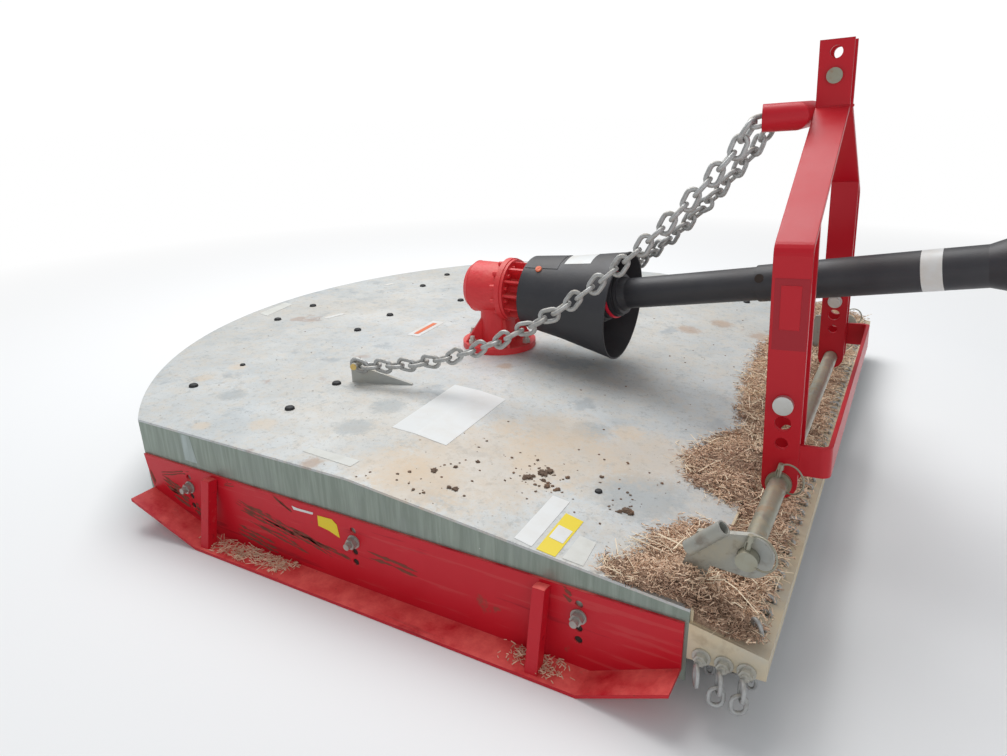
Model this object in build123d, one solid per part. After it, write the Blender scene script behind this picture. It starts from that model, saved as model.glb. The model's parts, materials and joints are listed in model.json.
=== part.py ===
"""Offset rotary slasher: a three-point mower that parks on its two side skids.

Frame, in millimetres: +X is the direction of travel, +Y is the machine's left, +Z is up.
The shapes below are drawn with X counted from the rotor's axis, Y from the deck's middle
and Z from the ground. At the end everything moves along X, so that the origin lies on the
ground in the middle of the overall length and width.
"""
from build123d import *
import os
from math import acos, asinh, atan2, cos, cosh, degrees, hypot, radians, sin, sinh, sqrt, tan

# Deck: a flat rear half with a round rear edge, and a front half that slopes down
deck_half_width = 1127.0
deck_height = 289.0
deck_thickness = 6.0
deck_side_start_x = -563.0
deck_knee_x = 163.0
deck_front_x = 944.0
deck_front_drop = 70.0
deck_arc_centre_x = 274.0
wall_thickness = 5.0
wall_bottom_z = 60.0
skirt_depth = 100.0

# Rotor and gearbox, both off the middle of the deck towards the right
rotor_y = -140.0
gearbox_axis_z = 486.0

# Beams under the deck
beam_size = 50.0
beam_spacing = 216.0
beam_rear_x = -1020.0
beam_front_x = 900.0
cross_beam_x = (-600.0, 260.0)

# Chain shelf ahead of the deck, open below, with three rows of hanging chain
shelf_front_x = 1083.0
shelf_rear_z = 190.0
shelf_front_z = 164.0
shelf_lip_z = 122.0
shelf_end_bottom_z = 112.0
shelf_sheet = 5.0
shelf_end_thickness = 6.0
chain_rod_x = (971.0, 1011.0, 1050.0)
chain_rod_z = 127.0
chain_rod_radius = 7.0
strand_pitch = 44.0
strand_width = 9.0
strand_depth = 26.0
strand_bottom_z = 22.0
strand_loop_height = 22.0
slot_side_gap = 2.5
seat_gap = 0.3
washer_radius = 17.0
washer_thickness = 4.0

# Skids: a side plate, a shoe bent up at both ends like a sled, and two braces
skid_plate_thickness = 6.0
skid_top_z = 190.0
shoe_width = 72.0
shoe_thickness = 8.0
shoe_rear_x = -545.0
shoe_rear_flat_x = -310.0
shoe_front_flat_x = 760.0
shoe_front_x = 937.0
shoe_rise = 82.0
brace_size = 27.0
brace_x = (-284.0, 660.0)
brace_lean = 38.0
skid_bolt_x = (-386.0, 173.0, 734.0)
skid_hole_top_z = 158.0
skid_hole_pitch = 28.0
skid_hole_count = 4
skid_hole_radius = 8.5
skid_bolt_radius = 8.0
skid_bolt_overhang = 28.0
skid_nut_size = 24.0
skid_nut_height = 13.0
skid_head_height = 9.0
skid_washer = 3.0

# Hitch: a cross shaft carried by two brackets on the deck's front edge
hitch_y = -305.0
shaft_x = 1023.0
shaft_z = 321.0
shaft_radius = 19.0
running_gap = 0.4
bracket_inset = 66.0
bracket_thickness = 12.0
bracket_radius = 42.0
bracket_rear_x = 896.0
bracket_top_x = 932.0
bracket_top_z = 346.0
bracket_crook_x = 960.0
bracket_crook_z = 283.0
shaft_overhang = 30.0
stub_radius = 14.5
stub_wall = 3.0
stub_length = 82.0
stub_tilt = 45.0
stub_centre_x = 951.0
stub_centre_z = 345.0
stub_weld = 2.0
collar_radius = 26.0
collar_length = 8.0

# Headstock: two legs of doubled flat bar, drawn upright with the cross shaft at zero
headstock_lean = 3.0
leg_outer_y = 475.0
leg_bar_width = 70.0
leg_bar = 10.0
leg_gap = 60.0
leg_lower_bend = 483.0
leg_upper_bend = 719.0
leg_bend_radius = 28.0
leg_bend_steps = 4
leg_top = 857.0
top_gap = 60.0
lower_pin_height = 173.0
lower_pin_radius = 14.3
middle_hole_height = 131.0
middle_hole_radius = 16.0
bottom_hole_height = 88.0
bottom_hole_radius = 12.5
top_pin_height = 783.0
top_pin_radius = 12.5
top_hole_height = 831.0
top_hole_radius = 13.0
pin_gap = 0.3
pin_head_radius = 19.5
pin_head_length = 12.0
stirrup_height = 65.0
stirrup_bottom = 24.0
stirrup_thickness = 9.0
stirrup_bend = 20.0
stirrup_reach = 60.0
chain_tube_radius = 30.0
chain_tube_wall = 5.0
chain_tube_height = 705.0
chain_tube_half = 105.0
chain_tube_arm = 69.5
chain_tube_turn = 8.0

# Lift chain and its lugs on the deck
lug_x = -224.0
lug_y = 503.0
lug_angle = 16.0
lug_length = 190.0
lug_height = 76.0
lug_thickness = 10.0
lug_pin_offset = 22.0
lug_pin_height = 58.0
lug_pin_radius = 6.0
lug_shoulder = 46.0
lug_side_gap = 5.0
link_pitch = 39.0
link_wire = 12.5
link_width = 43.0
link_slack = 0.6

# Gearbox casting
foot_radius = 124.0
foot_thickness = 20.0
foot_bolt_circle = 104.0
foot_bolt_count = 6
barrel_radius = 85.0
barrel_rear_x = -98.0
flange_radius = 103.0
flange_x = 40.0
flange_thickness = 18.0
cover_front_x = 137.0
cover_radius = 92.0
cover_rib_count = 12
neck_radius = 53.0
neck_x = -4.0
web_height = 90.0
web_thickness = 10.0
boss_radius = 58.0
boss_drop = 27.0

# Plastic guard over the input shaft
guard_radius = 115.0
guard_wall = 4.0
guard_flare_x = 260.0
guard_flare_radius = 132.0
guard_mouth_x = 443.0
guard_mouth_radius = 165.5
guard_droop = 2.6

# Drive shaft: it runs from its inner joint, in the guard, up to the tractor's height
joint_x = 300.0
shaft_run_x = 1450.0
shaft_run_y = -165.0
shaft_run_z = 290.0
joint_span = 1250.0
yoke_hub_radius = 32.0
yoke_ear_radius = 28.0
yoke_ear_inner = 33.0
yoke_ear_thickness = 12.0
cross_ball_radius = 22.0
trunnion_radius = 9.0
trunnion_reach = 41.0
trunnion_clearance = 10.0
drive_tube_radius = 26.0
input_shaft_radius = 17.5
end_yoke_bore_radius = 17.5
end_yoke_length = 95.0
guard_tube_radius = 45.0
guard_tube_wall = 3.0
outer_tube_radius = 49.0
guard_tube_overlap_start = 560.0
guard_tube_overlap_end = 650.0
end_cone_length = 80.0
end_cone_radius = 72.0
end_cone_start = 95.0

# Rotor: a dished pan on a hub, with blades that swing on bolts under its rim
pan_radius = 480.0
pan_flat_radius = 220.0
pan_rim_radius = 362.0
pan_bottom_z = 78.0
pan_rim_z = 114.0
pan_thickness = 8.0
rotor_hub_radius = 45.0
rotor_hub_drop = 34.0
rotor_flange_width = 45.0
rotor_flange_height = 16.0
rotor_shaft_radius = 22.0
rotor_shaft_rise = 7.0
blade_count = 3
blade_pivot_radius = 430.0
blade_tip_radius = 920.0
blade_width = 90.0
blade_thickness = 12.0
blade_gap = 3.0
blade_bolt_radius = 14.0
blade_nut_radius = 24.0

# Values that follow from the sizes above
deck_under_z = deck_height - deck_thickness
rotor_hub_top_z = deck_height - rotor_hub_drop
rotor_shaft_top_z = deck_height + rotor_shaft_rise
bracket_spacing = 2 * (deck_half_width + hitch_y - bracket_inset)
deck_front_z = deck_height - deck_front_drop
deck_slope = deck_front_drop / (deck_front_x - deck_knee_x)
deck_arc_radius = hypot(deck_side_start_x - deck_arc_centre_x, deck_half_width)
skid_outer_y = deck_half_width + skid_plate_thickness
run_length = sqrt(shaft_run_x ** 2 + shaft_run_y ** 2 + shaft_run_z ** 2)
run_direction = Vector(shaft_run_x, shaft_run_y, shaft_run_z) / run_length
inner_joint = Vector(joint_x, rotor_y, gearbox_axis_z)
drive_frame = Plane(origin=inner_joint, x_dir=run_direction.cross(Vector(0, 0, 1)), z_dir=run_direction)
input_frame = Plane(origin=(0, rotor_y, gearbox_axis_z), x_dir=(0, 1, 0), z_dir=(1, 0, 0))
pivot = Location((shaft_x, hitch_y, shaft_z), (0, -headstock_lean, 0))
drive_end = joint_span + end_yoke_length
overall_front_x = joint_x + run_direction.X * drive_end + yoke_hub_radius * sqrt(1 - run_direction.X ** 2)
overall_rear_x = deck_arc_centre_x - deck_arc_radius
to_origin = Location((-(overall_front_x + overall_rear_x) / 2, 0, 0))


def deck_top(x):
    """Height of the deck's upper face at x."""
    return deck_height - max(0.0, x - deck_knee_x) * deck_slope


def outline(points):
    """A flat face through the points, in the order given."""
    return make_face(Polyline(*points, close=True))


def across(points, y_low, y_high):
    """An outline of (x, z) points, carried from y_low to y_high."""
    face = Plane.XZ.offset(-y_low) * outline(points)
    return extrude(face, amount=y_low - y_high)


def cylinder_y(x, z, radius, y_low, y_high):
    """A round bar along Y."""
    bar = Cylinder(radius, y_high - y_low)
    return Location((x, (y_low + y_high) / 2, z), (90, 0, 0)) * bar


def cylinder_z(x, y, radius, z_low, z_high):
    """A round bar along Z."""
    return Pos(x, y, (z_low + z_high) / 2) * Cylinder(radius, z_high - z_low)


def along(frame, radius, start, end):
    """A round bar along the Z direction of a frame."""
    return frame * Pos(0, 0, (start + end) / 2) * Cylinder(radius, end - start)


def ring_along(frame, outer, inner, start, end):
    """A tube along the Z direction of a frame."""
    return along(frame, outer, start, end) - along(frame, inner, start - 1, end + 1)


def hexagon_y(x, z, across_flats, y_low, y_high):
    """A nut or bolt head along Y."""
    nut = extrude(RegularPolygon(across_flats / 2, 6, major_radius=False), amount=y_high - y_low)
    return Location((x, y_high, z), (90, 0, 0)) * nut


def mirrored_y(shape, y=0.0):
    """The same shape on the other side of a plane across Y."""
    return mirror(shape, about=Plane.XZ.offset(-y))


def plan_prism(half_width, radius, front_x, z_low, z_high):
    """The deck's plan, a round rear and straight sides, between two heights."""
    corner_x = deck_arc_centre_x - sqrt(radius ** 2 - half_width ** 2)
    rear = ThreePointArc(
        (corner_x, -half_width), (deck_arc_centre_x - radius, 0), (corner_x, half_width))
    sides = Polyline((corner_x, half_width), (front_x, half_width), (front_x, -half_width),
                     (corner_x, -half_width))
    return Pos(0, 0, z_low) * extrude(make_face(rear + sides), amount=z_high - z_low)


def deck_plate():
    """The deck's one sheet, with the opening for the gearbox."""
    top = [(overall_rear_x - 5, deck_height), (deck_knee_x, deck_height), (deck_front_x, deck_front_z)]
    under = [(x, z - deck_thickness) for x, z in reversed(top)]
    sheet = across(top + under, -deck_half_width, deck_half_width)
    plan = plan_prism(deck_half_width, deck_arc_radius, deck_front_x, 0, deck_height + 1)
    return (sheet & plan) - cylinder_z(0, rotor_y, boss_radius + 2, 0, deck_height + 1)


def side_wall(side):
    """A wall under the deck's edge, behind the skid plate, with the bolt holes."""
    points = [
        (deck_side_start_x, deck_under_z), (deck_knee_x, deck_under_z),
        (deck_front_x, deck_front_z - deck_thickness), (deck_front_x, wall_bottom_z),
        (deck_side_start_x, wall_bottom_z)]
    wall = across(points, -deck_half_width, -deck_half_width + wall_thickness)
    for x in skid_bolt_x:
        z = skid_hole_top_z - skid_hole_pitch
        wall -= cylinder_y(x, z, skid_hole_radius, -deck_half_width - 1, -deck_half_width + 20)
    return wall if side < 0 else mirrored_y(wall)


def rear_skirt():
    """The band under the deck's round rear edge."""
    low = deck_under_z - skirt_depth
    outer = cylinder_z(deck_arc_centre_x, 0, deck_arc_radius, low, deck_under_z)
    inner = cylinder_z(deck_arc_centre_x, 0, deck_arc_radius - wall_thickness, low - 1, deck_under_z + 1)
    side = 2 * deck_arc_radius
    keep = Pos(deck_side_start_x - side / 2, 0, low) * Box(side, 2 * side, side)
    return (outer - inner) & keep


def underframe():
    """Two beams along the deck beside the gearbox, tied by beams across it."""
    def beam_section(x):
        return deck_top(x) - deck_thickness
    points = [(beam_rear_x, deck_under_z), (deck_knee_x, deck_under_z),
              (beam_front_x, beam_section(beam_front_x))]
    points += [(x, z - beam_size) for x, z in reversed(points)]
    frame = None
    for offset in (-beam_spacing / 2, beam_spacing / 2):
        y = rotor_y + offset
        beam = across(points, y - beam_size / 2, y + beam_size / 2)
        frame = beam if frame is None else frame + beam
    half = deck_half_width - wall_thickness
    for x in cross_beam_x:
        top = min(beam_section(x - beam_size / 2), beam_section(x + beam_size / 2))
        reach = half
        if x < deck_side_start_x:
            reach = sqrt((deck_arc_radius - wall_thickness) ** 2 - (x - beam_size / 2 - deck_arc_centre_x) ** 2)
            reach = min(reach, half) - 1
        box = Pos(x, 0, top - beam_size / 2) * Box(beam_size, 2 * reach, beam_size)
        frame += box
    return frame


def strand_places():
    """Y of each chain strand in a row."""
    inside = deck_half_width - shelf_end_thickness - strand_pitch / 2
    count = int(2 * inside / strand_pitch)
    return [(i - (count - 1) / 2) * strand_pitch for i in range(count)]


def shelf_top(x):
    """Height of the shelf's upper face at x."""
    start = deck_front_x + shelf_sheet
    return shelf_rear_z - (x - start) / (shelf_front_x - start) * (shelf_rear_z - shelf_front_z)


def front_shelf():
    """The folded sheet that closes the step, carries the chains and ends in a lip."""
    step_x = deck_front_x + shelf_sheet
    points = [
        (deck_front_x, deck_front_z), (step_x, deck_front_z), (step_x, shelf_rear_z),
        (shelf_front_x, shelf_front_z), (shelf_front_x, shelf_lip_z),
        (shelf_front_x - shelf_sheet, shelf_lip_z),
        (shelf_front_x - shelf_sheet, shelf_top(shelf_front_x - shelf_sheet) - shelf_sheet),
        (deck_front_x, shelf_rear_z - shelf_sheet)]
    reach = deck_half_width - shelf_end_thickness
    sheet = across(points, -reach, reach)
    length = strand_depth + 2 * slot_side_gap
    width = strand_width + 2 * slot_side_gap
    slots = [Pos(chain_rod_x[2], y, shelf_front_z) * Box(length, width, 60) for y in strand_places()]
    return sheet - slots


def shelf_end(side):
    """The plate that closes an end of the shelf and holds the rods."""
    points = [
        (deck_front_x, shelf_rear_z), (shelf_front_x, shelf_front_z),
        (shelf_front_x, shelf_lip_z - 4), (deck_front_x, shelf_end_bottom_z)]
    plate = across(points, -deck_half_width, -deck_half_width + shelf_end_thickness)
    for x in chain_rod_x:
        plate -= cylinder_y(x, chain_rod_z, chain_rod_radius + running_gap, -deck_half_width - 1,
                            -deck_half_width + 20)
    return plate if side < 0 else mirrored_y(plate)


def chain_rods():
    """Three rods along the shelf, each with a washer and a nut at both ends."""
    rods = []
    nut_length = 11.0
    for x in chain_rod_x:
        reach = deck_half_width + washer_thickness + nut_length + 6
        rod = cylinder_y(x, chain_rod_z, chain_rod_radius, -reach, reach)
        y = -deck_half_width
        washer = cylinder_y(x, chain_rod_z, washer_radius, y - washer_thickness, y)
        nut = hexagon_y(x, chain_rod_z, 21, y - washer_thickness - nut_length, y - washer_thickness)
        end = washer + nut
        rods.append(rod + end + mirrored_y(end))
    return rods


def chain_row(index):
    """Chain strands hanging from one rod; the front row also loops up through the shelf."""
    x = chain_rod_x[index]
    top = chain_rod_z - chain_rod_radius - seat_gap
    shift = strand_pitch / 2 if index == 1 else 0.0
    places = [y + shift for y in strand_places()]
    places = places[:-1] if index == 1 else places
    height = top - strand_bottom_z
    pieces = [Pos(x, y, strand_bottom_z + height / 2) * Box(strand_depth, strand_width, height)
              for y in places]
    if index < 2:
        return pieces
    low = chain_rod_z + chain_rod_radius + seat_gap
    high = shelf_top(x) + strand_loop_height
    half = strand_depth / 2
    loop = [(x - half, low), (x + half, low), (x + half, high - 9), (x + half * 0.4, high),
            (x - half * 0.4, high), (x - half, high - 9)]
    pieces += [across(loop, y - strand_width / 2, y + strand_width / 2) for y in places]
    return pieces


def skid(side):
    """Side plate, sled shoe and two braces, welded into one."""
    y_in = -deck_half_width
    y_out = -skid_outer_y
    line = [(shoe_rear_x, shoe_thickness + shoe_rise), (shoe_rear_flat_x, shoe_thickness),
            (shoe_front_flat_x, shoe_thickness), (shoe_front_x, shoe_thickness + shoe_rise)]
    plate = across([(shoe_rear_x - 15, skid_top_z)] + line + [(shoe_front_x, skid_top_z)], y_out, y_in)
    lower = [(x, z - shoe_thickness) for x, z in reversed(line)]
    shoe = across(line + lower, y_out - shoe_width, y_in)
    part = plate + shoe
    height = skid_top_z - 6
    for x in brace_x:
        y = y_out - brace_size / 2 - brace_lean / 2
        tilt = degrees(atan2(brace_lean, height))
        bar = Location((x, y, height / 2 + 1), (-tilt, 0, 0)) * Box(brace_size, brace_size, height + 4)
        bar = bar & (Pos(x, y_out - 100, height / 2 + 2) * Box(100, 200, height))
        part += bar
    for x in skid_bolt_x:
        for i in range(skid_hole_count):
            z = skid_hole_top_z - i * skid_hole_pitch
            part -= cylinder_y(x, z, skid_hole_radius, y_out - 1, y_in + 1)
    return part if side < 0 else mirrored_y(part)


def skid_bolts(side):
    """Three bolts through wall and skid, nuts outside."""
    bolts = []
    z = skid_hole_top_z - skid_hole_pitch
    y_in = -deck_half_width + wall_thickness
    y_out = -skid_outer_y
    for x in skid_bolt_x:
        bolt = cylinder_y(x, z, skid_bolt_radius, y_out - skid_bolt_overhang, y_in)
        bolt += hexagon_y(x, z, skid_nut_size, y_in, y_in + skid_head_height)
        bolt += cylinder_y(x, z, washer_radius, y_out - skid_washer, y_out)
        bolt += hexagon_y(x, z, skid_nut_size, y_out - skid_washer - skid_nut_height, y_out - skid_washer)
        bolts.append(bolt if side < 0 else mirrored_y(bolt))
    return bolts


def bracket_outline():
    """Side view of a hitch bracket: it stands on the deck and rounds the cross shaft."""
    base = [(bracket_rear_x, deck_top(bracket_rear_x)), (deck_front_x, deck_front_z)]
    reach = bracket_radius
    dx, dz = bracket_crook_x - shaft_x, bracket_crook_z - shaft_z
    lower = atan2(dz, dx) + acos(reach / hypot(dx, dz))
    ux, uz = bracket_top_x - shaft_x, bracket_top_z - shaft_z
    upper = atan2(uz, ux) - acos(reach / hypot(ux, uz))
    low_point = (shaft_x + reach * cos(lower), shaft_z + reach * sin(lower))
    high_point = (shaft_x + reach * cos(upper), shaft_z + reach * sin(upper))
    nose = (shaft_x + reach, shaft_z)
    crook = (bracket_crook_x, bracket_crook_z)
    edge = Polyline(high_point, (bracket_top_x, bracket_top_z), *base, crook, low_point)
    return make_face(edge + ThreePointArc(low_point, nose, high_point))


def hitch_bracket(side):
    """A bracket with its shaft hole; the right one has a short pipe welded to its outer face."""
    face = Plane.XZ * bracket_outline()
    plate = extrude(face, amount=bracket_thickness)
    plate -= cylinder_y(shaft_x, shaft_z, shaft_radius + running_gap, -bracket_thickness - 1, 1)
    y = hitch_y + side * bracket_spacing / 2
    if side > 0:
        return Pos(0, y + bracket_thickness, 0) * plate
    run = Vector(cos(radians(stub_tilt)), 0, sin(radians(stub_tilt)))
    centre = (stub_centre_x, stub_weld - bracket_thickness - stub_radius, stub_centre_z)
    frame = Plane(origin=centre, x_dir=(0, 1, 0), z_dir=run)
    reach = stub_length / 2
    plate += ring_along(frame, stub_radius, stub_radius - stub_wall, -reach, reach)
    return Pos(0, y, 0) * plate


def cross_shaft():
    """The shaft on which the headstock hangs, with a collar inside each bracket."""
    reach = bracket_spacing / 2 + shaft_overhang
    bar = cylinder_y(shaft_x, shaft_z, shaft_radius, hitch_y - reach, hitch_y + reach)
    inner = bracket_spacing / 2 - seat_gap
    collar = cylinder_y(shaft_x, shaft_z, collar_radius, hitch_y - inner, hitch_y - inner + collar_length)
    leg = leg_outer_y + seat_gap
    stop = cylinder_y(shaft_x, shaft_z, collar_radius, hitch_y - leg - collar_length, hitch_y - leg)
    for piece in (collar, stop):
        bar += piece
        bar += mirrored_y(piece, hitch_y)
    return bar


def rounded(before, corner, after, radius, steps):
    """Points along the arc that takes the place of a corner in a bent line."""
    middle = Vector(*corner)
    back = (Vector(*before) - middle).normalized()
    on = (Vector(*after) - middle).normalized()
    half = acos(back.dot(on)) / 2
    centre = middle + (back + on).normalized() * (radius / sin(half))
    start = middle + back * (radius / tan(half)) - centre
    end = middle + on * (radius / tan(half)) - centre
    points = []
    for i in range(steps + 1):
        point = centre + (start + (end - start) * (i / steps)).normalized() * radius
        points.append((point.X, point.Y))
    return points


def bent_bar(points, thickness):
    """Section of a flat bar whose outer face follows (y, z) points, with mitred bends."""
    inner = []
    for i, (y, z) in enumerate(points):
        before = points[max(i - 1, 0)]
        after = points[min(i + 1, len(points) - 1)]
        first = Vector(y - before[0], z - before[1])
        last = Vector(after[0] - y, after[1] - z)
        first = last if i == 0 else first
        last = first if i == len(points) - 1 else last
        n_first = Vector(first.Y, -first.X).normalized()
        n_last = Vector(last.Y, -last.X).normalized()
        middle = (n_first + n_last).normalized()
        reach = thickness / middle.dot(n_first)
        inner.append((y + middle.X * reach, z + middle.Y * reach))
    return outline(points + inner[::-1])


def headstock_leg(side):
    """Outer bar from the cross shaft to the top, and the inner bar of the lower clevis."""
    top_y = top_gap / 2 + leg_bar
    path = [(-leg_outer_y, -leg_bar_width), (-leg_outer_y, leg_lower_bend),
            (-top_y, leg_upper_bend), (-top_y, leg_top)]
    path[1:2] = rounded(*path[:3], leg_bend_radius, leg_bend_steps)
    outer = extrude(Plane.YZ * bent_bar(path, leg_bar), amount=leg_bar_width / 2, both=True)
    slope = (leg_upper_bend - leg_lower_bend) / (leg_outer_y - top_y)
    drop = leg_bar * sqrt(1 + slope ** 2)
    y_a = -leg_outer_y + leg_bar + leg_gap
    y_b = y_a + leg_bar

    def under(y):
        return leg_lower_bend + slope * (y + leg_outer_y) - drop
    inner = outline([(y_a, -leg_bar_width), (y_b, -leg_bar_width), (y_b, under(y_b)), (y_a, under(y_a))])
    leg = outer + extrude(Plane.YZ * inner, amount=leg_bar_width / 2, both=True)
    keep = Pos(0, 0, leg_top) * Box(leg_bar_width, 4 * leg_outer_y, 2 * leg_top)
    keep += cylinder_y(0, 0, leg_bar_width / 2, -2 * leg_outer_y, 2 * leg_outer_y)
    leg = leg & keep
    holes = [(0, shaft_radius + running_gap), (lower_pin_height, lower_pin_radius + pin_gap),
             (middle_hole_height, middle_hole_radius), (bottom_hole_height, bottom_hole_radius)]
    for z, radius in holes:
        leg -= cylinder_y(0, z, radius, -leg_outer_y - 1, -300)
    for z, radius in ((top_pin_height, top_pin_radius + pin_gap), (top_hole_height, top_hole_radius)):
        leg -= cylinder_y(0, z, radius, -top_y - 1, 0)
    leg = leg if side < 0 else mirrored_y(leg)
    return pivot * leg


def headstock_stirrup():
    """The flat bar bent round the front of both legs."""
    front = leg_bar_width / 2 + stirrup_reach
    outer = RectangleRounded(2 * front, 2 * leg_outer_y, stirrup_bend)
    inner = RectangleRounded(2 * (front - stirrup_thickness), 2 * (leg_outer_y - stirrup_thickness),
                             stirrup_bend - stirrup_thickness)
    ahead = Pos(leg_bar_width / 2 + front, 0) * Rectangle(2 * front, 4 * leg_outer_y)
    band = extrude((outer - inner) & ahead, amount=stirrup_height)
    return pivot * Pos(0, 0, stirrup_bottom) * band


def chain_tube():
    """A mitred pipe behind the headstock; the lift chain runs through it."""
    x = -leg_bar_width / 2 - chain_tube_radius
    back = chain_tube_arm * cos(radians(chain_tube_turn))
    out = chain_tube_half + chain_tube_arm * sin(radians(chain_tube_turn))
    points = [(x - back, -out), (x, -chain_tube_half), (x, chain_tube_half), (x - back, out)]
    path = Polyline(*[(px, py, chain_tube_height) for px, py in points])
    start = Plane(origin=path @ 0, z_dir=path % 0)
    ring = Circle(chain_tube_radius) - Circle(chain_tube_radius - chain_tube_wall)
    return pivot * sweep(start * ring, path=path, transition=Transition.RIGHT)


def lower_link_pin(side):
    """The pin across a leg's clevis, head outside and a split-pin collar inside."""
    outer = -leg_outer_y
    inner = outer + 2 * leg_bar + leg_gap
    pin = cylinder_y(0, lower_pin_height, lower_pin_radius, outer - pin_head_length, inner + 22)
    pin += cylinder_y(0, lower_pin_height, pin_head_radius, outer - pin_head_length, outer)
    pin += cylinder_y(0, lower_pin_height, pin_head_radius, inner, inner + 6)
    return pivot * (pin if side < 0 else mirrored_y(pin))


def top_link_pin():
    """The pin across the top clevis."""
    half = top_gap / 2 + leg_bar
    pin = cylinder_y(0, top_pin_height, top_pin_radius, -half - 8, half + 22)
    pin += cylinder_y(0, top_pin_height, top_pin_radius + 4, -half - 8, -half)
    pin += cylinder_y(0, top_pin_height, top_pin_radius + 5, half, half + 5)
    return pivot * pin


def lug_frame(side):
    """Frame of a chain lug: X along the plate, Y up, at its rear foot on the deck."""
    angle = radians(lug_angle)
    direction = Vector(cos(angle), -side * sin(angle), 0)
    return Plane(origin=(lug_x, rotor_y + side * lug_y, deck_height), x_dir=direction,
                 z_dir=direction.cross(Vector(0, 0, 1)))


def chain_lug(side):
    """A gusset on the deck with the pin that holds an end of the lift chain."""
    points = [(0, 0), (lug_length, 0), (lug_length, 4), (lug_pin_offset + 20, lug_shoulder),
              (lug_pin_offset + 13, lug_pin_height + 5), (lug_pin_offset + 6, lug_height),
              (8, lug_height), (0, lug_height - 8)]
    frame = lug_frame(side)
    plate = frame * Pos(0, 0, -lug_thickness / 2) * extrude(outline(points), amount=lug_thickness)
    reach = lug_thickness / 2 + lug_side_gap + link_wire + lug_side_gap
    pin = Pos(0, 0, reach / 2) * Cylinder(lug_pin_radius, reach)
    pin += Pos(0, 0, reach + 3) * Cylinder(lug_pin_radius + 5, 6)
    pin += Pos(0, 0, -lug_thickness / 2 - 4) * Cylinder(lug_pin_radius + 5, 8)
    return plate + frame * Pos(lug_pin_offset, lug_pin_height, 0) * pin


def lug_pin_place(side):
    """Centre of the link that hangs on a lug's pin, beside the plate."""
    beside = lug_thickness / 2 + lug_side_gap + link_wire / 2
    return (Location(lug_frame(side)) * Pos(lug_pin_offset, lug_pin_height, beside)).position


def tube_mouth(side):
    """Where the lift chain enters the chain tube."""
    x = -leg_bar_width / 2 - chain_tube_radius - chain_tube_arm * cos(radians(chain_tube_turn))
    y = chain_tube_half + chain_tube_arm * sin(radians(chain_tube_turn))
    local = Location((x, side * y, chain_tube_height))
    return (pivot * local).position


def catenary_scale(span, rise):
    """Scale of the catenary that leaves its lower end level and climbs by the rise."""
    low, high = span / 8, span * 8
    for _ in range(60):
        middle = (low + high) / 2
        if middle * (cosh(span / middle) - 1) > rise:
            low = middle
        else:
            high = middle
    return (low + high) / 2


def chain_link():
    """One link, lying in the XY plane along X, with eight straight sides."""
    def ring(length, width, cut):
        x, y = length / 2, width / 2
        return outline([(x, -y + cut), (x, y - cut), (x - cut, y), (-x + cut, y),
                        (-x, y - cut), (-x, -y + cut), (-x + cut, -y), (x - cut, -y)])
    outer = ring(link_pitch + 2 * link_wire, link_width, 11)
    inner = ring(link_pitch, link_width - 2 * link_wire, 5)
    return extrude(outer - inner, amount=link_wire / 2, both=True)


def lift_chain(side):
    """Links along a catenary from the lug's pin up to the chain tube."""
    pin = lug_pin_place(side)
    mouth = tube_mouth(side)
    heading = Vector(mouth.X - pin.X, mouth.Y - pin.Y, 0)
    span = heading.length
    heading = heading.normalized()
    scale = catenary_scale(span, mouth.Z - pin.Z)
    skew = abs(heading.cross(lug_frame(side).x_dir).Z)
    first = link_pitch / 2 - lug_pin_radius - 2 * seat_gap - skew * link_wire / 2
    links = []
    link = chain_link()
    step = link_pitch - link_slack
    count = int((scale * sinh(span / scale) - first) / step)
    for i in range(count):
        arc = first + i * step
        x = scale * asinh(arc / scale)
        z = scale * (cosh(x / scale) - 1)
        tangent = (heading + Vector(0, 0, sinh(x / scale))).normalized()
        level = tangent.cross(Vector(0, 0, 1)).normalized()
        normal = level.cross(tangent) if i % 2 else level
        place = Plane(origin=pin + heading * x + Vector(0, 0, z), x_dir=tangent, z_dir=normal)
        links.append(place * link)
    return links


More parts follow.
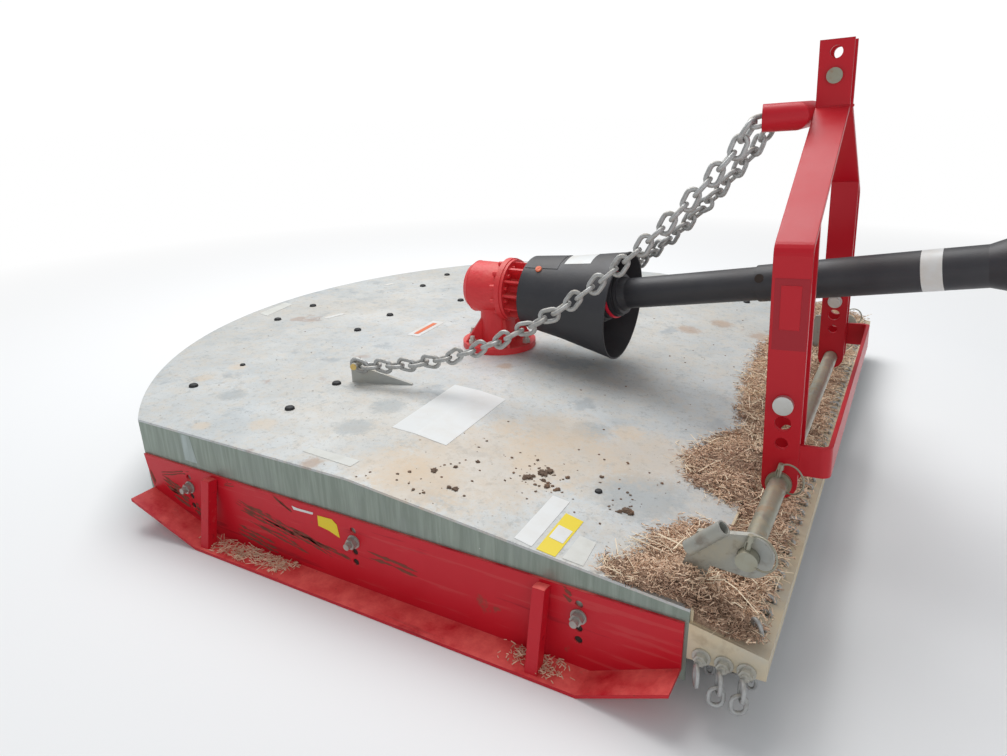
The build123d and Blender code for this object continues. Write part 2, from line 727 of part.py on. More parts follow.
def gearbox_housing():
    """Round foot, neck and barrel, with the boss that goes down through the deck."""
    foot = cylinder_z(0, rotor_y, foot_radius, deck_height, deck_height + foot_thickness)
    boss = cylinder_z(0, rotor_y, boss_radius, deck_height - boss_drop, deck_height)
    neck_height = gearbox_axis_z - deck_height
    neck = Cone(neck_radius + 10, neck_radius, neck_height, align=(Align.CENTER, Align.CENTER, Align.MIN))
    neck = Pos(neck_x, rotor_y, deck_height) * neck
    side = 4 * flange_radius
    behind = Pos(flange_x + flange_thickness - side / 2, rotor_y, gearbox_axis_z) * Box(side, side, side)
    neck = neck & behind
    crown = 12.0
    profile = Polyline((0, barrel_rear_x), (barrel_radius - 30, barrel_rear_x),
                       (barrel_radius - crown, barrel_rear_x + 6), (barrel_radius, barrel_rear_x + 24),
                       (barrel_radius, flange_x), (flange_radius, flange_x),
                       (flange_radius, flange_x + flange_thickness), (0, flange_x + flange_thickness), (0, barrel_rear_x))
    barrel = input_frame * revolve(make_face(Plane.XZ * profile), axis=Axis.Z)
    body = foot + boss + neck + barrel
    web_points = [(40, 0), (foot_radius - 6, 0), (foot_radius - 14, 12), (54, web_height), (40, web_height)]
    web = extrude(Plane.XZ * outline(web_points), amount=web_thickness / 2, both=True)
    for angle in (45, 135, 225, 315):
        body += Location((0, rotor_y, deck_height + foot_thickness - 1), (0, 0, angle)) * web
    for i in range(foot_bolt_count):
        turn = radians(i * 360 / foot_bolt_count)
        x, y = foot_bolt_circle * cos(turn), rotor_y + foot_bolt_circle * sin(turn)
        body -= cylinder_z(x, y, 8.5, deck_height - 1, deck_height + foot_thickness + 1)
    return body - cylinder_z(0, rotor_y, rotor_shaft_radius + running_gap, 0, rotor_shaft_top_z + running_gap)


def foot_bolts():
    """Studs and nuts of the gearbox foot."""
    bolts = []
    top = deck_height + foot_thickness
    for i in range(foot_bolt_count):
        turn = radians(i * 360 / foot_bolt_count)
        x, y = foot_bolt_circle * cos(turn), rotor_y + foot_bolt_circle * sin(turn)
        nut = Pos(x, y, top) * extrude(RegularPolygon(12, 6, major_radius=False), amount=13)
        bolts.append(nut + cylinder_z(x, y, 8, deck_height, top + 26))
    return bolts


def gearbox_cover():
    """Ribbed cover of the input bearing, bolted to the barrel's flange."""
    start = flange_x + flange_thickness
    plate = along(input_frame, flange_radius - 3, start, start + 10)
    nose = along(input_frame, 52, start, cover_front_x)
    cover = plate + nose
    depth = cover_front_x - start - 8
    for i in range(cover_rib_count):
        rib = Location((0, 0, 0), (0, 0, i * 360 / cover_rib_count)) * Pos(cover_radius / 2, 0, start + 5 + depth / 2)
        cover += input_frame * rib * Box(cover_radius, 7, depth)
    return cover - along(input_frame, input_shaft_radius + running_gap, start - 1, cover_front_x + 1)


def shaft_guard():
    """Black plastic cylinder round the input joint, flared at its mouth."""
    wall = guard_wall
    start = cover_front_x - 6
    outer = [(guard_radius, start), (guard_flare_radius, guard_flare_x), (guard_mouth_radius, guard_mouth_x)]
    inner = [(r - wall, x) for r, x in reversed(outer)]
    inner[-1] = (guard_radius - wall, start + wall)
    bore = cover_radius + 3 * seat_gap
    ring = outer + inner + [(bore, start + wall), (bore, start)]
    guard = input_frame * revolve(Plane.XZ * outline(ring), axis=Axis.Z)
    rear = Location((start, rotor_y, gearbox_axis_z))
    return rear * Location((0, 0, 0), (0, guard_droop, 0)) * rear.inverse() * guard


def yoke_ears(start, reach, turned):
    """Two ears of a yoke about the point zero, from a base at start."""
    ears = None
    for sign in (-1, 1):
        middle = sign * (yoke_ear_inner + yoke_ear_thickness / 2)
        place = Location((middle, 0, 0), (0, 90, 0))
        ear = place * Cylinder(yoke_ear_radius, yoke_ear_thickness)
        ear += Pos(middle, 0, start / 2) * Box(yoke_ear_thickness, 2 * yoke_ear_radius * 0.8, abs(start))
        ears = ear if ears is None else ears + ear
    width = 2 * (yoke_ear_inner + yoke_ear_thickness)
    base = Pos(0, 0, start + reach / 2) * Box(width, 2 * yoke_ear_radius * 0.8, abs(reach))
    return Location((0, 0, 0), (0, 0, turned)) * (ears + base)


def input_yoke():
    """The gearbox side of the inner joint, on the splined input shaft."""
    centre = Location((0, 0, joint_x))
    fork = input_frame * centre * yoke_ears(-60, -14, 0)
    hub = along(input_frame, yoke_hub_radius, cover_front_x + 2, joint_x - 58)
    shaft = along(input_frame, input_shaft_radius, flange_x + flange_thickness + 2, cover_front_x + 4)
    hole = Location((0, 0, 0), (0, 90, 0)) * Cylinder(trunnion_radius + trunnion_clearance, 120)
    nose = along(input_frame, cross_ball_radius - 2, joint_x - 60, joint_x - 14)
    yoke = (fork + hub + shaft) - input_frame * centre * hole
    return (yoke + nose) - input_frame * centre * Sphere(cross_ball_radius + seat_gap)


def trunnions():
    """The cross of a joint: a ball with four arms."""
    cross = Sphere(cross_ball_radius)
    cross += Location((0, 0, 0), (0, 90, 0)) * Cylinder(trunnion_radius, 2 * trunnion_reach)
    cross += Location((0, 0, 0), (90, 0, 0)) * Cylinder(trunnion_radius, 2 * trunnion_reach)
    return cross


def drive_shaft():
    """Inner cross and yoke, the long shaft, and the yoke at the tractor's end."""
    shaft = along(drive_frame, drive_tube_radius, 60, joint_span - 60)
    inner = drive_frame * (yoke_ears(60, 14, 90) + trunnions())
    outer = drive_frame * Pos(0, 0, joint_span) * (yoke_ears(-60, -14, 0) + trunnions())
    return shaft + inner + outer


def end_yoke():
    """The free yoke with its splined bore for the tractor's shaft."""
    fork = yoke_ears(60, 14, 90)
    hub = Pos(0, 0, (46 + end_yoke_length) / 2) * Cylinder(yoke_hub_radius, end_yoke_length - 46)
    yoke = fork + hub
    yoke -= Location((0, 0, 0), (90, 0, 0)) * Cylinder(trunnion_radius + running_gap, 120)
    yoke -= Pos(0, 0, (40 + end_yoke_length) / 2) * Cylinder(end_yoke_bore_radius, end_yoke_length - 38)
    return drive_frame * Pos(0, 0, joint_span) * yoke


def guard_tube(outer_half):
    """Half of the shaft's plastic guard: a tube, its end cone and its bearing ring."""
    bearing = drive_tube_radius + seat_gap
    if outer_half:
        radius = outer_tube_radius
        wall = outer_tube_radius - guard_tube_radius - 0.5
        start, end = guard_tube_overlap_start, joint_span - end_cone_start - end_cone_length
        wide = end + end_cone_length
    else:
        radius, wall = guard_tube_radius, guard_tube_wall
        start, end = end_cone_start + end_cone_length, guard_tube_overlap_end
        wide = start - end_cone_length
    tube = ring_along(drive_frame, radius, radius - wall, start, end)
    near = end if outer_half else start
    ring = [(radius, near), (end_cone_radius, wide), (end_cone_radius - wall, wide), (radius - wall, near)]
    cone = drive_frame * revolve(Plane.XZ * outline(ring), axis=Axis.Z)
    side = -12 if outer_half else 12
    seat = ring_along(drive_frame, radius - wall / 2, bearing, min(near, near + side), max(near, near + side))
    return tube + cone + seat


def rotor_hub():
    """Output shaft and hub that carry the pan."""
    hub = cylinder_z(0, rotor_y, rotor_hub_radius, pan_bottom_z + pan_thickness, rotor_hub_top_z)
    low = pan_bottom_z + pan_thickness
    hub += cylinder_z(0, rotor_y, rotor_hub_radius + rotor_flange_width, low, low + rotor_flange_height)
    return hub + cylinder_z(0, rotor_y, rotor_shaft_radius, rotor_hub_top_z, rotor_shaft_top_z)


def blade_places():
    """Angle and centre of each blade's bolt."""
    for i in range(blade_count):
        angle = i * 360 / blade_count
        turn = radians(angle)
        yield angle, blade_pivot_radius * cos(turn), rotor_y + blade_pivot_radius * sin(turn)


def rotor_pan():
    """The dished stump-jump pan."""
    upper = [(0, pan_bottom_z), (pan_flat_radius, pan_bottom_z), (pan_rim_radius, pan_rim_z), (pan_radius, pan_rim_z)]
    lower = [(r, z + pan_thickness) for r, z in reversed(upper)]
    pan = Pos(0, rotor_y, 0) * revolve(Plane.XZ * outline(upper + lower), axis=Axis.Z)
    for _, x, y in blade_places():
        pan -= cylinder_z(x, y, blade_bolt_radius + running_gap, 0, 200)
    return pan


def blade_bolts():
    """The bolts on which the blades swing."""
    top = pan_rim_z + pan_thickness
    bolts = []
    low = pan_rim_z - 2 * blade_gap - blade_thickness
    for _, x, y in blade_places():
        bolt = cylinder_z(x, y, blade_bolt_radius, low, top)
        bolt += cylinder_z(x, y, blade_nut_radius, top, top + 12)
        bolt += cylinder_z(x, y, blade_nut_radius, low - 12, low)
        bolts.append(bolt)
    return bolts


def blade(index):
    """One swinging blade, its cutting end slightly narrowed."""
    angle, x, y = list(blade_places())[index]
    length = blade_tip_radius - blade_pivot_radius
    half = blade_width / 2
    shape = outline([(0, -half), (length - 20, -half * 0.9), (length, -half * 0.5), (length, half * 0.9), (0, half)])
    shape += Circle(half)
    bar = extrude(shape, amount=blade_thickness)
    bar -= Cylinder(blade_bolt_radius + running_gap, 100)
    return Location((x, y, pan_rim_z - blade_gap - blade_thickness), (0, 0, angle)) * bar


parts = {
    "deck_plate": deck_plate(),
    "side_wall_right": side_wall(-1),
    "side_wall_left": side_wall(1),
    "rear_skirt": rear_skirt(),
    "deck_underframe": underframe(),
    "front_shelf": front_shelf(),
    "shelf_end_right": shelf_end(-1),
    "shelf_end_left": shelf_end(1),
    "chain_rods": chain_rods(),
    "chain_row_rear": chain_row(0),
    "chain_row_middle": chain_row(1),
    "chain_row_front": chain_row(2),
    "skid_right": skid(-1),
    "skid_left": skid(1),
    "skid_bolts_right": skid_bolts(-1),
    "skid_bolts_left": skid_bolts(1),
    "hitch_bracket_right": hitch_bracket(-1),
    "hitch_bracket_left": hitch_bracket(1),
    "cross_shaft": cross_shaft(),
    "headstock_leg_right": headstock_leg(-1),
    "headstock_leg_left": headstock_leg(1),
    "headstock_stirrup": headstock_stirrup(),
    "chain_tube": chain_tube(),
    "lower_link_pin_right": lower_link_pin(-1),
    "lower_link_pin_left": lower_link_pin(1),
    "top_link_pin": top_link_pin(),
    "chain_lug_right": chain_lug(-1),
    "chain_lug_left": chain_lug(1),
    "lift_chain_right": lift_chain(-1),
    "lift_chain_left": lift_chain(1),
    "gearbox_housing": gearbox_housing(),
    "gearbox_foot_bolts": foot_bolts(),
    "gearbox_cover": gearbox_cover(),
    "shaft_guard": shaft_guard(),
    "input_yoke": input_yoke(),
    "drive_shaft": drive_shaft(),
    "end_yoke": end_yoke(),
    "guard_tube_inner": guard_tube(False),
    "guard_tube_outer": guard_tube(True),
    "rotor_hub": rotor_hub(),
    "rotor_pan": rotor_pan(),
    "blade_bolts": blade_bolts(),
}
for number in range(blade_count):
    parts[f"blade_{number + 1}"] = blade(number)

os.makedirs("parts", exist_ok=True)
for name, shape in parts.items():
    solids = shape if isinstance(shape, list) else [shape]
    moved = [to_origin * solid for solid in solids]
    body = moved[0] if len(moved) == 1 else Compound(children=moved)
    export_step(body, f"parts/{name}.step")
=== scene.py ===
# %% [markdown]
# # A rotary slasher, dressed for its picture
# A rotary slasher is a wide mower that is carried behind a tractor on a three-point hitch. A shaft brings the
# drive to a gearbox on the deck, and blades swing under it. The solid model comes in as a fixed frame: this
# script gives it materials, round chain links, labels, fasteners, dirt and straw, and never moves it.

import json
import math
import random

import bmesh
import bpy
from mathutils import Matrix, Vector, noise

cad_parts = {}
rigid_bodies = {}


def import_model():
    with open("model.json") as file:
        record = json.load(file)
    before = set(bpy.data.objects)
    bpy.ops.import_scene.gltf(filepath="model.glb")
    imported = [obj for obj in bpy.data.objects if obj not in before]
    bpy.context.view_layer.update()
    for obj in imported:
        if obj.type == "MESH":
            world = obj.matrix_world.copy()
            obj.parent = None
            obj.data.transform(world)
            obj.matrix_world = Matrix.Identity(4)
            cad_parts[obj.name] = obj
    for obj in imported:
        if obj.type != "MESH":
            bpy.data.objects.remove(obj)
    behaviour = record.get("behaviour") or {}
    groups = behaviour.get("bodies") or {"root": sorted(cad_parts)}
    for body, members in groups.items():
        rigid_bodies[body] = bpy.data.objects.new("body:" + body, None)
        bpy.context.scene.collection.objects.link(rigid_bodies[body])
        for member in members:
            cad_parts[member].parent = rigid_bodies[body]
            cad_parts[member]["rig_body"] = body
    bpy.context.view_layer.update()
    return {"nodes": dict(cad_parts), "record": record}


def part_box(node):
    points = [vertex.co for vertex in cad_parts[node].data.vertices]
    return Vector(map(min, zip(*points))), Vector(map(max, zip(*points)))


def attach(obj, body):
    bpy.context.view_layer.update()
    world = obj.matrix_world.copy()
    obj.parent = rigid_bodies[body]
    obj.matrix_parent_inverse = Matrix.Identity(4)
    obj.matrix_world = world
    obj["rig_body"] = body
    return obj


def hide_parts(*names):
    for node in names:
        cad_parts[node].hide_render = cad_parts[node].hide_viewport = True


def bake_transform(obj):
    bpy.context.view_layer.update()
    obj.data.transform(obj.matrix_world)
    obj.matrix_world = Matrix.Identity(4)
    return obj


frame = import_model()
nodes = frame["nodes"]

# %% [markdown]
# ## Places
# Everything is measured from the rotor's axis along the machine, because the hub is the one round part that
# stays put. Reading its middle from the frame keeps these places right if the solids are packed again. The
# deck is level at the back and falls towards the front from a knee, so a small function gives its height.

# %% Places taken from the frame
hub_low, hub_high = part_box("rotor_hub")
rotor_x = (hub_low.x + hub_high.x) / 2
rotor_y = (hub_low.y + hub_high.y) / 2
deck_height = 0.289
knee_x = 0.163
front_x = 0.944
front_drop = 0.070
shelf_front_x = 1.083
shelf_rear_z, shelf_front_z = 0.190, 0.164
gearbox_z = 0.486
drive_start = Vector((0.300, rotor_y, gearbox_z))
drive_run = Vector((1.450, -0.165, 0.290)).normalized()


def at(x, y, z):
    """A point in the row frame, with x counted from the rotor's axis."""
    return Vector((x + rotor_x, y, z))


def deck_z(x):
    """Height of the deck's top, with x counted from the rotor's axis."""
    if x < knee_x:
        return deck_height
    if x < front_x:
        return deck_height - front_drop * (x - knee_x) / (front_x - knee_x)
    share = (x - front_x) / (shelf_front_x - front_x)
    return shelf_rear_z + (shelf_front_z - shelf_rear_z) * share


def along_drive(distance):
    """A point on the drive shaft's centre line, counted from its inner joint."""
    start = at(*drive_start)
    return start + drive_run * distance


print("rotor axis", round(rotor_x, 4), round(rotor_y, 4))

# %% [markdown]
# ## Camera
# The place, heading and lens come from fitting a camera to points that can be told apart on the deck, the
# hitch and the gearbox. It stands low at the right front corner, looks back over the deck and leans a little.
# A short lens makes the near corner large, so the lens matters as much as the place.

# %% Camera
camera_heading = math.radians(29.7377)
camera_pitch = math.radians(20.7961)
camera_roll = math.radians(-1.4257)
camera_place = at(1.1863, -2.1954, 1.0637)
focal_pixels, picture_width = 724.18, 1007
sensor_width = 36.0
forward = Vector((-math.sin(camera_heading) * math.cos(camera_pitch),
                  math.cos(camera_heading) * math.cos(camera_pitch), -math.sin(camera_pitch)))
level = Vector((math.cos(camera_heading), math.sin(camera_heading), 0))
upward = level.cross(forward)
right = level * math.cos(camera_roll) + upward * math.sin(camera_roll)
top = upward * math.cos(camera_roll) - level * math.sin(camera_roll)
camera_data = bpy.data.cameras.new("camera")
camera_data.sensor_width = sensor_width
camera_data.lens = sensor_width * focal_pixels / picture_width
camera_data.clip_start, camera_data.clip_end = 0.05, 200.0
camera = bpy.data.objects.new("camera", camera_data)
turn = Matrix((right, top, -forward)).transposed().to_4x4()
camera.matrix_world = Matrix.Translation(camera_place) @ turn
bpy.context.scene.collection.objects.link(camera)
bpy.context.scene.camera = camera
print("lens", round(camera_data.lens, 2), "mm")

# %% [markdown]
# ## Shader tools
# A material is a small tree of nodes. One helper adds a node, and each of its inputs takes a number or the
# output of another node, so that a tree reads from its source to its end. A node group holds an effect that
# several finishes share, such as dust. It puts out a mask from 0 to 1, and each material decides what colour
# goes there.

# %% Helpers for node trees
def feed(tree, socket, value):
    """Joins an output socket to an input socket, or sets the input's own value."""
    if isinstance(value, bpy.types.NodeSocket):
        tree.links.new(value, socket)
    else:
        socket.default_value = value


def add_node(tree, kind, values=None, **settings):
    """A shader node with its settings; inputs are told by name or number."""
    made = tree.nodes.new(kind)
    for key, value in settings.items():
        setattr(made, key, value)
    for key, value in (values or {}).items():
        feed(tree, made.inputs[key], value)
    return made


def arithmetic(tree, operation, *operands):
    """The result of a Math node."""
    return add_node(tree, "ShaderNodeMath", dict(enumerate(operands)), operation=operation).outputs[0]


def vector_math(tree, operation, *operands):
    """The outputs of a Vector Math node."""
    return add_node(tree, "ShaderNodeVectorMath", dict(enumerate(operands)), operation=operation).outputs


def ramp(tree, value, low, high):
    """Maps low..high to 0..1 and clamps."""
    values = {"Value": value, "From Min": low, "From Max": high}
    return add_node(tree, "ShaderNodeMapRange", values, clamp=True).outputs["Result"]


def object_place(tree):
    """Object coordinates, which stay on the piece when it moves."""
    return add_node(tree, "ShaderNodeTexCoord").outputs["Object"]


def noise_level(tree, place, scale, detail, roughness):
    """The level of a noise texture at a place."""
    values = {"Vector": place, "Scale": scale, "Detail": detail, "Roughness": roughness}
    return add_node(tree, "ShaderNodeTexNoise", values).outputs["Fac"]


def start_group(name, inputs):
    """A node group with number inputs and one Mask; gives the group, its inputs and its mask socket."""
    group = bpy.data.node_groups.new(name, "ShaderNodeTree")
    for label, value in inputs.items():
        socket = group.interface.new_socket(name=label, in_out="INPUT", socket_type="NodeSocketFloat")
        socket.default_value = value
    group.interface.new_socket(name="Mask", in_out="OUTPUT", socket_type="NodeSocketFloat")
    entry, leave = group.nodes.new("NodeGroupInput"), group.nodes.new("NodeGroupOutput")
    return group, entry.outputs, leave.inputs["Mask"]


# %% [markdown]
# A few masks cover the weathering. Patches are soft clouds for stains and dull zinc, and grit has the same
# clouds with a sandy edge. Scuffs are long thin streaks along the machine, where grass and soil drag on the
# paint, and runs are upright ones, where water ran down. Specks are small spots for mud splashes and rust.
# Dust lies on faces that look up. A spot is a single stain at a place that is known.

# %% Mask groups
def cloud_group(name, stretch=(1.0, 1.0, 1.0), detail=6.0, roughness=0.6):
    """Noise cut between two levels; a stretch below 1 draws the pattern out along that axis."""
    group, entry, mask = start_group(name, {"Scale": 5.0, "Low": 0.45, "High": 0.6, "Shift": 0.0})
    moved = add_node(group, "ShaderNodeCombineXYZ", {axis: entry["Shift"] for axis in "XYZ"}).outputs[0]
    values = {"Vector": object_place(group), "Location": moved, "Scale": stretch}
    place = add_node(group, "ShaderNodeMapping", values).outputs["Vector"]
    level = noise_level(group, place, entry["Scale"], detail, roughness)
    feed(group, mask, ramp(group, level, entry["Low"], entry["High"]))
    return group


def speck_group():
    """Round spots of mixed size, from cell distances broken up by noise."""
    group, entry, mask = start_group("specks", {"Scale": 60.0, "Size": 0.25, "Shift": 0.0})
    place = vector_math(group, "ADD", object_place(group), entry["Shift"])[0]
    cells = add_node(group, "ShaderNodeTexVoronoi", {"Vector": place, "Scale": entry["Scale"]}).outputs
    rough = arithmetic(group, "MULTIPLY", noise_level(group, place, 40.0, 3.0, 0.5), 0.35)
    distance = arithmetic(group, "ADD", cells["Distance"], rough)
    chance = add_node(group, "ShaderNodeSeparateColor", {0: cells["Color"]}).outputs[0]
    reach = arithmetic(group, "ADD", arithmetic(group, "MULTIPLY", chance, entry["Size"]), 0.12)
    feed(group, mask, ramp(group, arithmetic(group, "SUBTRACT", reach, distance), 0.0, 0.04))
    return group


def dust_group():
    """Dust on faces that look up, broken by clouds."""
    group, entry, mask = start_group("dust", {"Amount": 0.5, "Scale": 4.0})
    normal = add_node(group, "ShaderNodeNewGeometry").outputs["Normal"]
    looking_up = ramp(group, add_node(group, "ShaderNodeSeparateXYZ", {0: normal}).outputs["Z"], 0.25, 0.9)
    patchy = ramp(group, noise_level(group, object_place(group), entry["Scale"], 8.0, 0.68), 0.36, 0.66)
    lying = arithmetic(group, "MULTIPLY", looking_up, patchy)
    feed(group, mask, arithmetic(group, "MULTIPLY", lying, entry["Amount"]))
    return group


def spot_group():
    """One ragged spot round a point of a level sheet, for a stain whose place is known."""
    group, entry, mask = start_group("spot", {"X": 0.0, "Y": 0.0, "Radius": 0.05, "Scale": 30.0})
    place = object_place(group)
    middle = add_node(group, "ShaderNodeCombineXYZ", {axis: entry[axis] for axis in "XY"}).outputs[0]
    offset = vector_math(group, "SUBTRACT", place, middle)[0]
    reach = vector_math(group, "LENGTH", vector_math(group, "MULTIPLY", offset, (1.0, 1.0, 0.0))[0])["Value"]
    share = arithmetic(group, "DIVIDE", reach, entry["Radius"])
    ragged = arithmetic(group, "MULTIPLY", noise_level(group, place, entry["Scale"], 8.0, 0.85), 2.0)
    feed(group, mask, ramp(group, arithmetic(group, "SUBTRACT", ragged, share), 0.0, 0.4))
    return group


masks = {"patches": cloud_group("patches"), "grit": cloud_group("grit", detail=10.0, roughness=0.82),
         "scuffs": cloud_group("scuffs", stretch=(0.06, 1.0, 1.0), detail=4.0),
         "runs": cloud_group("runs", stretch=(1.0, 1.0, 0.08), detail=3.0),
         "specks": speck_group(), "dust": dust_group(), "spot": spot_group()}
print("mask groups", sorted(masks))

# %% [markdown]
# ## Finishes
# One function lays coloured layers over a base colour, each through its mask, and gives the Principled
# shader its colour, roughness and a little bump. A layer says its mask, the mask's values, its colour, its
# strength and the roughness it brings. Dirt isn't metal, so the layers of dirt also take away the shine. The
# order of the layers is the order in which a machine gets dirty.

# %% The finish function
dirt = {"dust": (0.40, 0.31, 0.20), "soil": (0.14, 0.09, 0.055), "rust": (0.30, 0.12, 0.05),
        "tan": (0.56, 0.44, 0.30)}


def cloud(mask, scale, low, high, tint, strength, roughness, shift=0.0):
    """A layer of patches, grit, scuffs or runs, between two levels of their noise."""
    return mask, {"Scale": scale, "Low": low, "High": high, "Shift": shift}, tint, strength, roughness


def specks(scale, size, tint, strength, roughness, shift=0.0):
    """A layer of small spots."""
    return "specks", {"Scale": scale, "Size": size, "Shift": shift}, tint, strength, roughness


def dust(amount, scale, tint, strength, roughness):
    """A layer on the faces that look up."""
    return "dust", {"Amount": amount, "Scale": scale}, tint, strength, roughness


def finish(name, colour, roughness, metallic=0.0, layers=(), bump=(0.0, 200.0), gloss=0.5, edge=0.0):
    """A material: a base colour under masked layers, with fine grain and rounded edges in its normals."""
    made = bpy.data.materials.new(name)
    made.use_nodes = True
    tree = made.node_tree
    paint, rough, metal = (*colour, 1), roughness, metallic
    for mask, values, tint, strength, layer_rough in layers:
        cover = add_node(tree, "ShaderNodeGroup", values, node_tree=masks[mask]).outputs["Mask"]
        amount = arithmetic(tree, "MULTIPLY", cover, strength)
        tinted = {0: amount, 6: paint, 7: (*dirt.get(tint, tint), 1)}
        paint = add_node(tree, "ShaderNodeMix", tinted, data_type="RGBA").outputs[2]
        rough = add_node(tree, "ShaderNodeMix", {0: amount, 2: rough, 3: layer_rough}).outputs[0]
        if metallic and tint in dirt:
            metal = arithmetic(tree, "MULTIPLY", arithmetic(tree, "SUBTRACT", 1.0, amount), metal)
    surface = {"Base Color": paint, "Roughness": rough, "Metallic": metal, "Specular IOR Level": gloss}
    grain_depth, grain_scale = bump
    if grain_depth:
        grain = noise_level(tree, object_place(tree), grain_scale, 3.0, 0.5)
        raised = {"Strength": 1.0, "Distance": grain_depth, "Height": grain}
        if edge:
            rounded = add_node(tree, "ShaderNodeBevel", {"Radius": edge}, samples=4)
            raised["Normal"] = rounded.outputs["Normal"]
        surface["Normal"] = add_node(tree, "ShaderNodeBump", raised).outputs["Normal"]
    for socket, value in surface.items():
        feed(tree, tree.nodes["Principled BSDF"].inputs[socket], value)
    return made


# %% [markdown]
# Galvanised steel is not shiny once it has stood in the weather. It goes to a pale blue grey with duller
# clouds and white bloom, so it is only a little metallic and rather rough. The deck also gets tan dust where
# soil has dried, mostly in the middle. The side bands are the same zinc, with painted shade and a painted
# green reflection of the grass in their colour, because they face sideways towards it.

# %% Metal finishes
stain_tints = {"grey": ((0.36, 0.39, 0.40), 0.55), "tan": ((0.66, 0.52, 0.37), 0.38),
               "brown": ((0.40, 0.24, 0.14), 0.5)}
stains = [(-0.468, -0.888, 0.048, "grey"), (0.002, -0.903, 0.06, "grey"), (0.525, -0.587, 0.06, "grey"),
          (0.742, -0.816, 0.12, "grey"), (-0.007, -0.753, 0.06, "grey"), (0.335, -0.700, 0.05, "tan"),
          (-0.664, -0.828, 0.035, "tan"), (-0.228, -0.996, 0.045, "tan"), (-0.368, -1.079, 0.03, "tan"),
          (-0.649, -0.711, 0.035, "tan"), (0.530, -0.756, 0.17, "tan"), (0.209, -1.033, 0.11, "tan"),
          (0.614, -0.537, 0.05, "tan"), (0.380, -0.900, 0.24, "tan"), (0.300, -1.060, 0.12, "tan"),
          (0.450, -0.640, 0.12, "tan"), (0.690, -0.640, 0.16, "tan"), (0.042, -1.105, 0.03, "brown"),
          (0.513, 0.387, 0.05, "brown"), (0.596, 0.540, 0.05, "brown"), (0.754, 0.480, 0.05, "brown"),
          (0.127, -0.329, 0.03, "brown")]
deck_stains = [("spot", {"X": x + rotor_x, "Y": y, "Radius": size, "Scale": 45.0}, *stain_tints[kind], 0.75)
               for x, y, size, kind in stains]
zinc_clouds = [cloud("patches", 9.0, 0.35, 0.7, (0.40, 0.43, 0.44), 0.55, 0.5),
               cloud("patches", 2.3, 0.5, 0.72, (0.72, 0.73, 0.72), 0.5, 0.62, 3.0),
               specks(70.0, 0.12, (0.74, 0.75, 0.74), 0.5, 0.6, 5.0)]
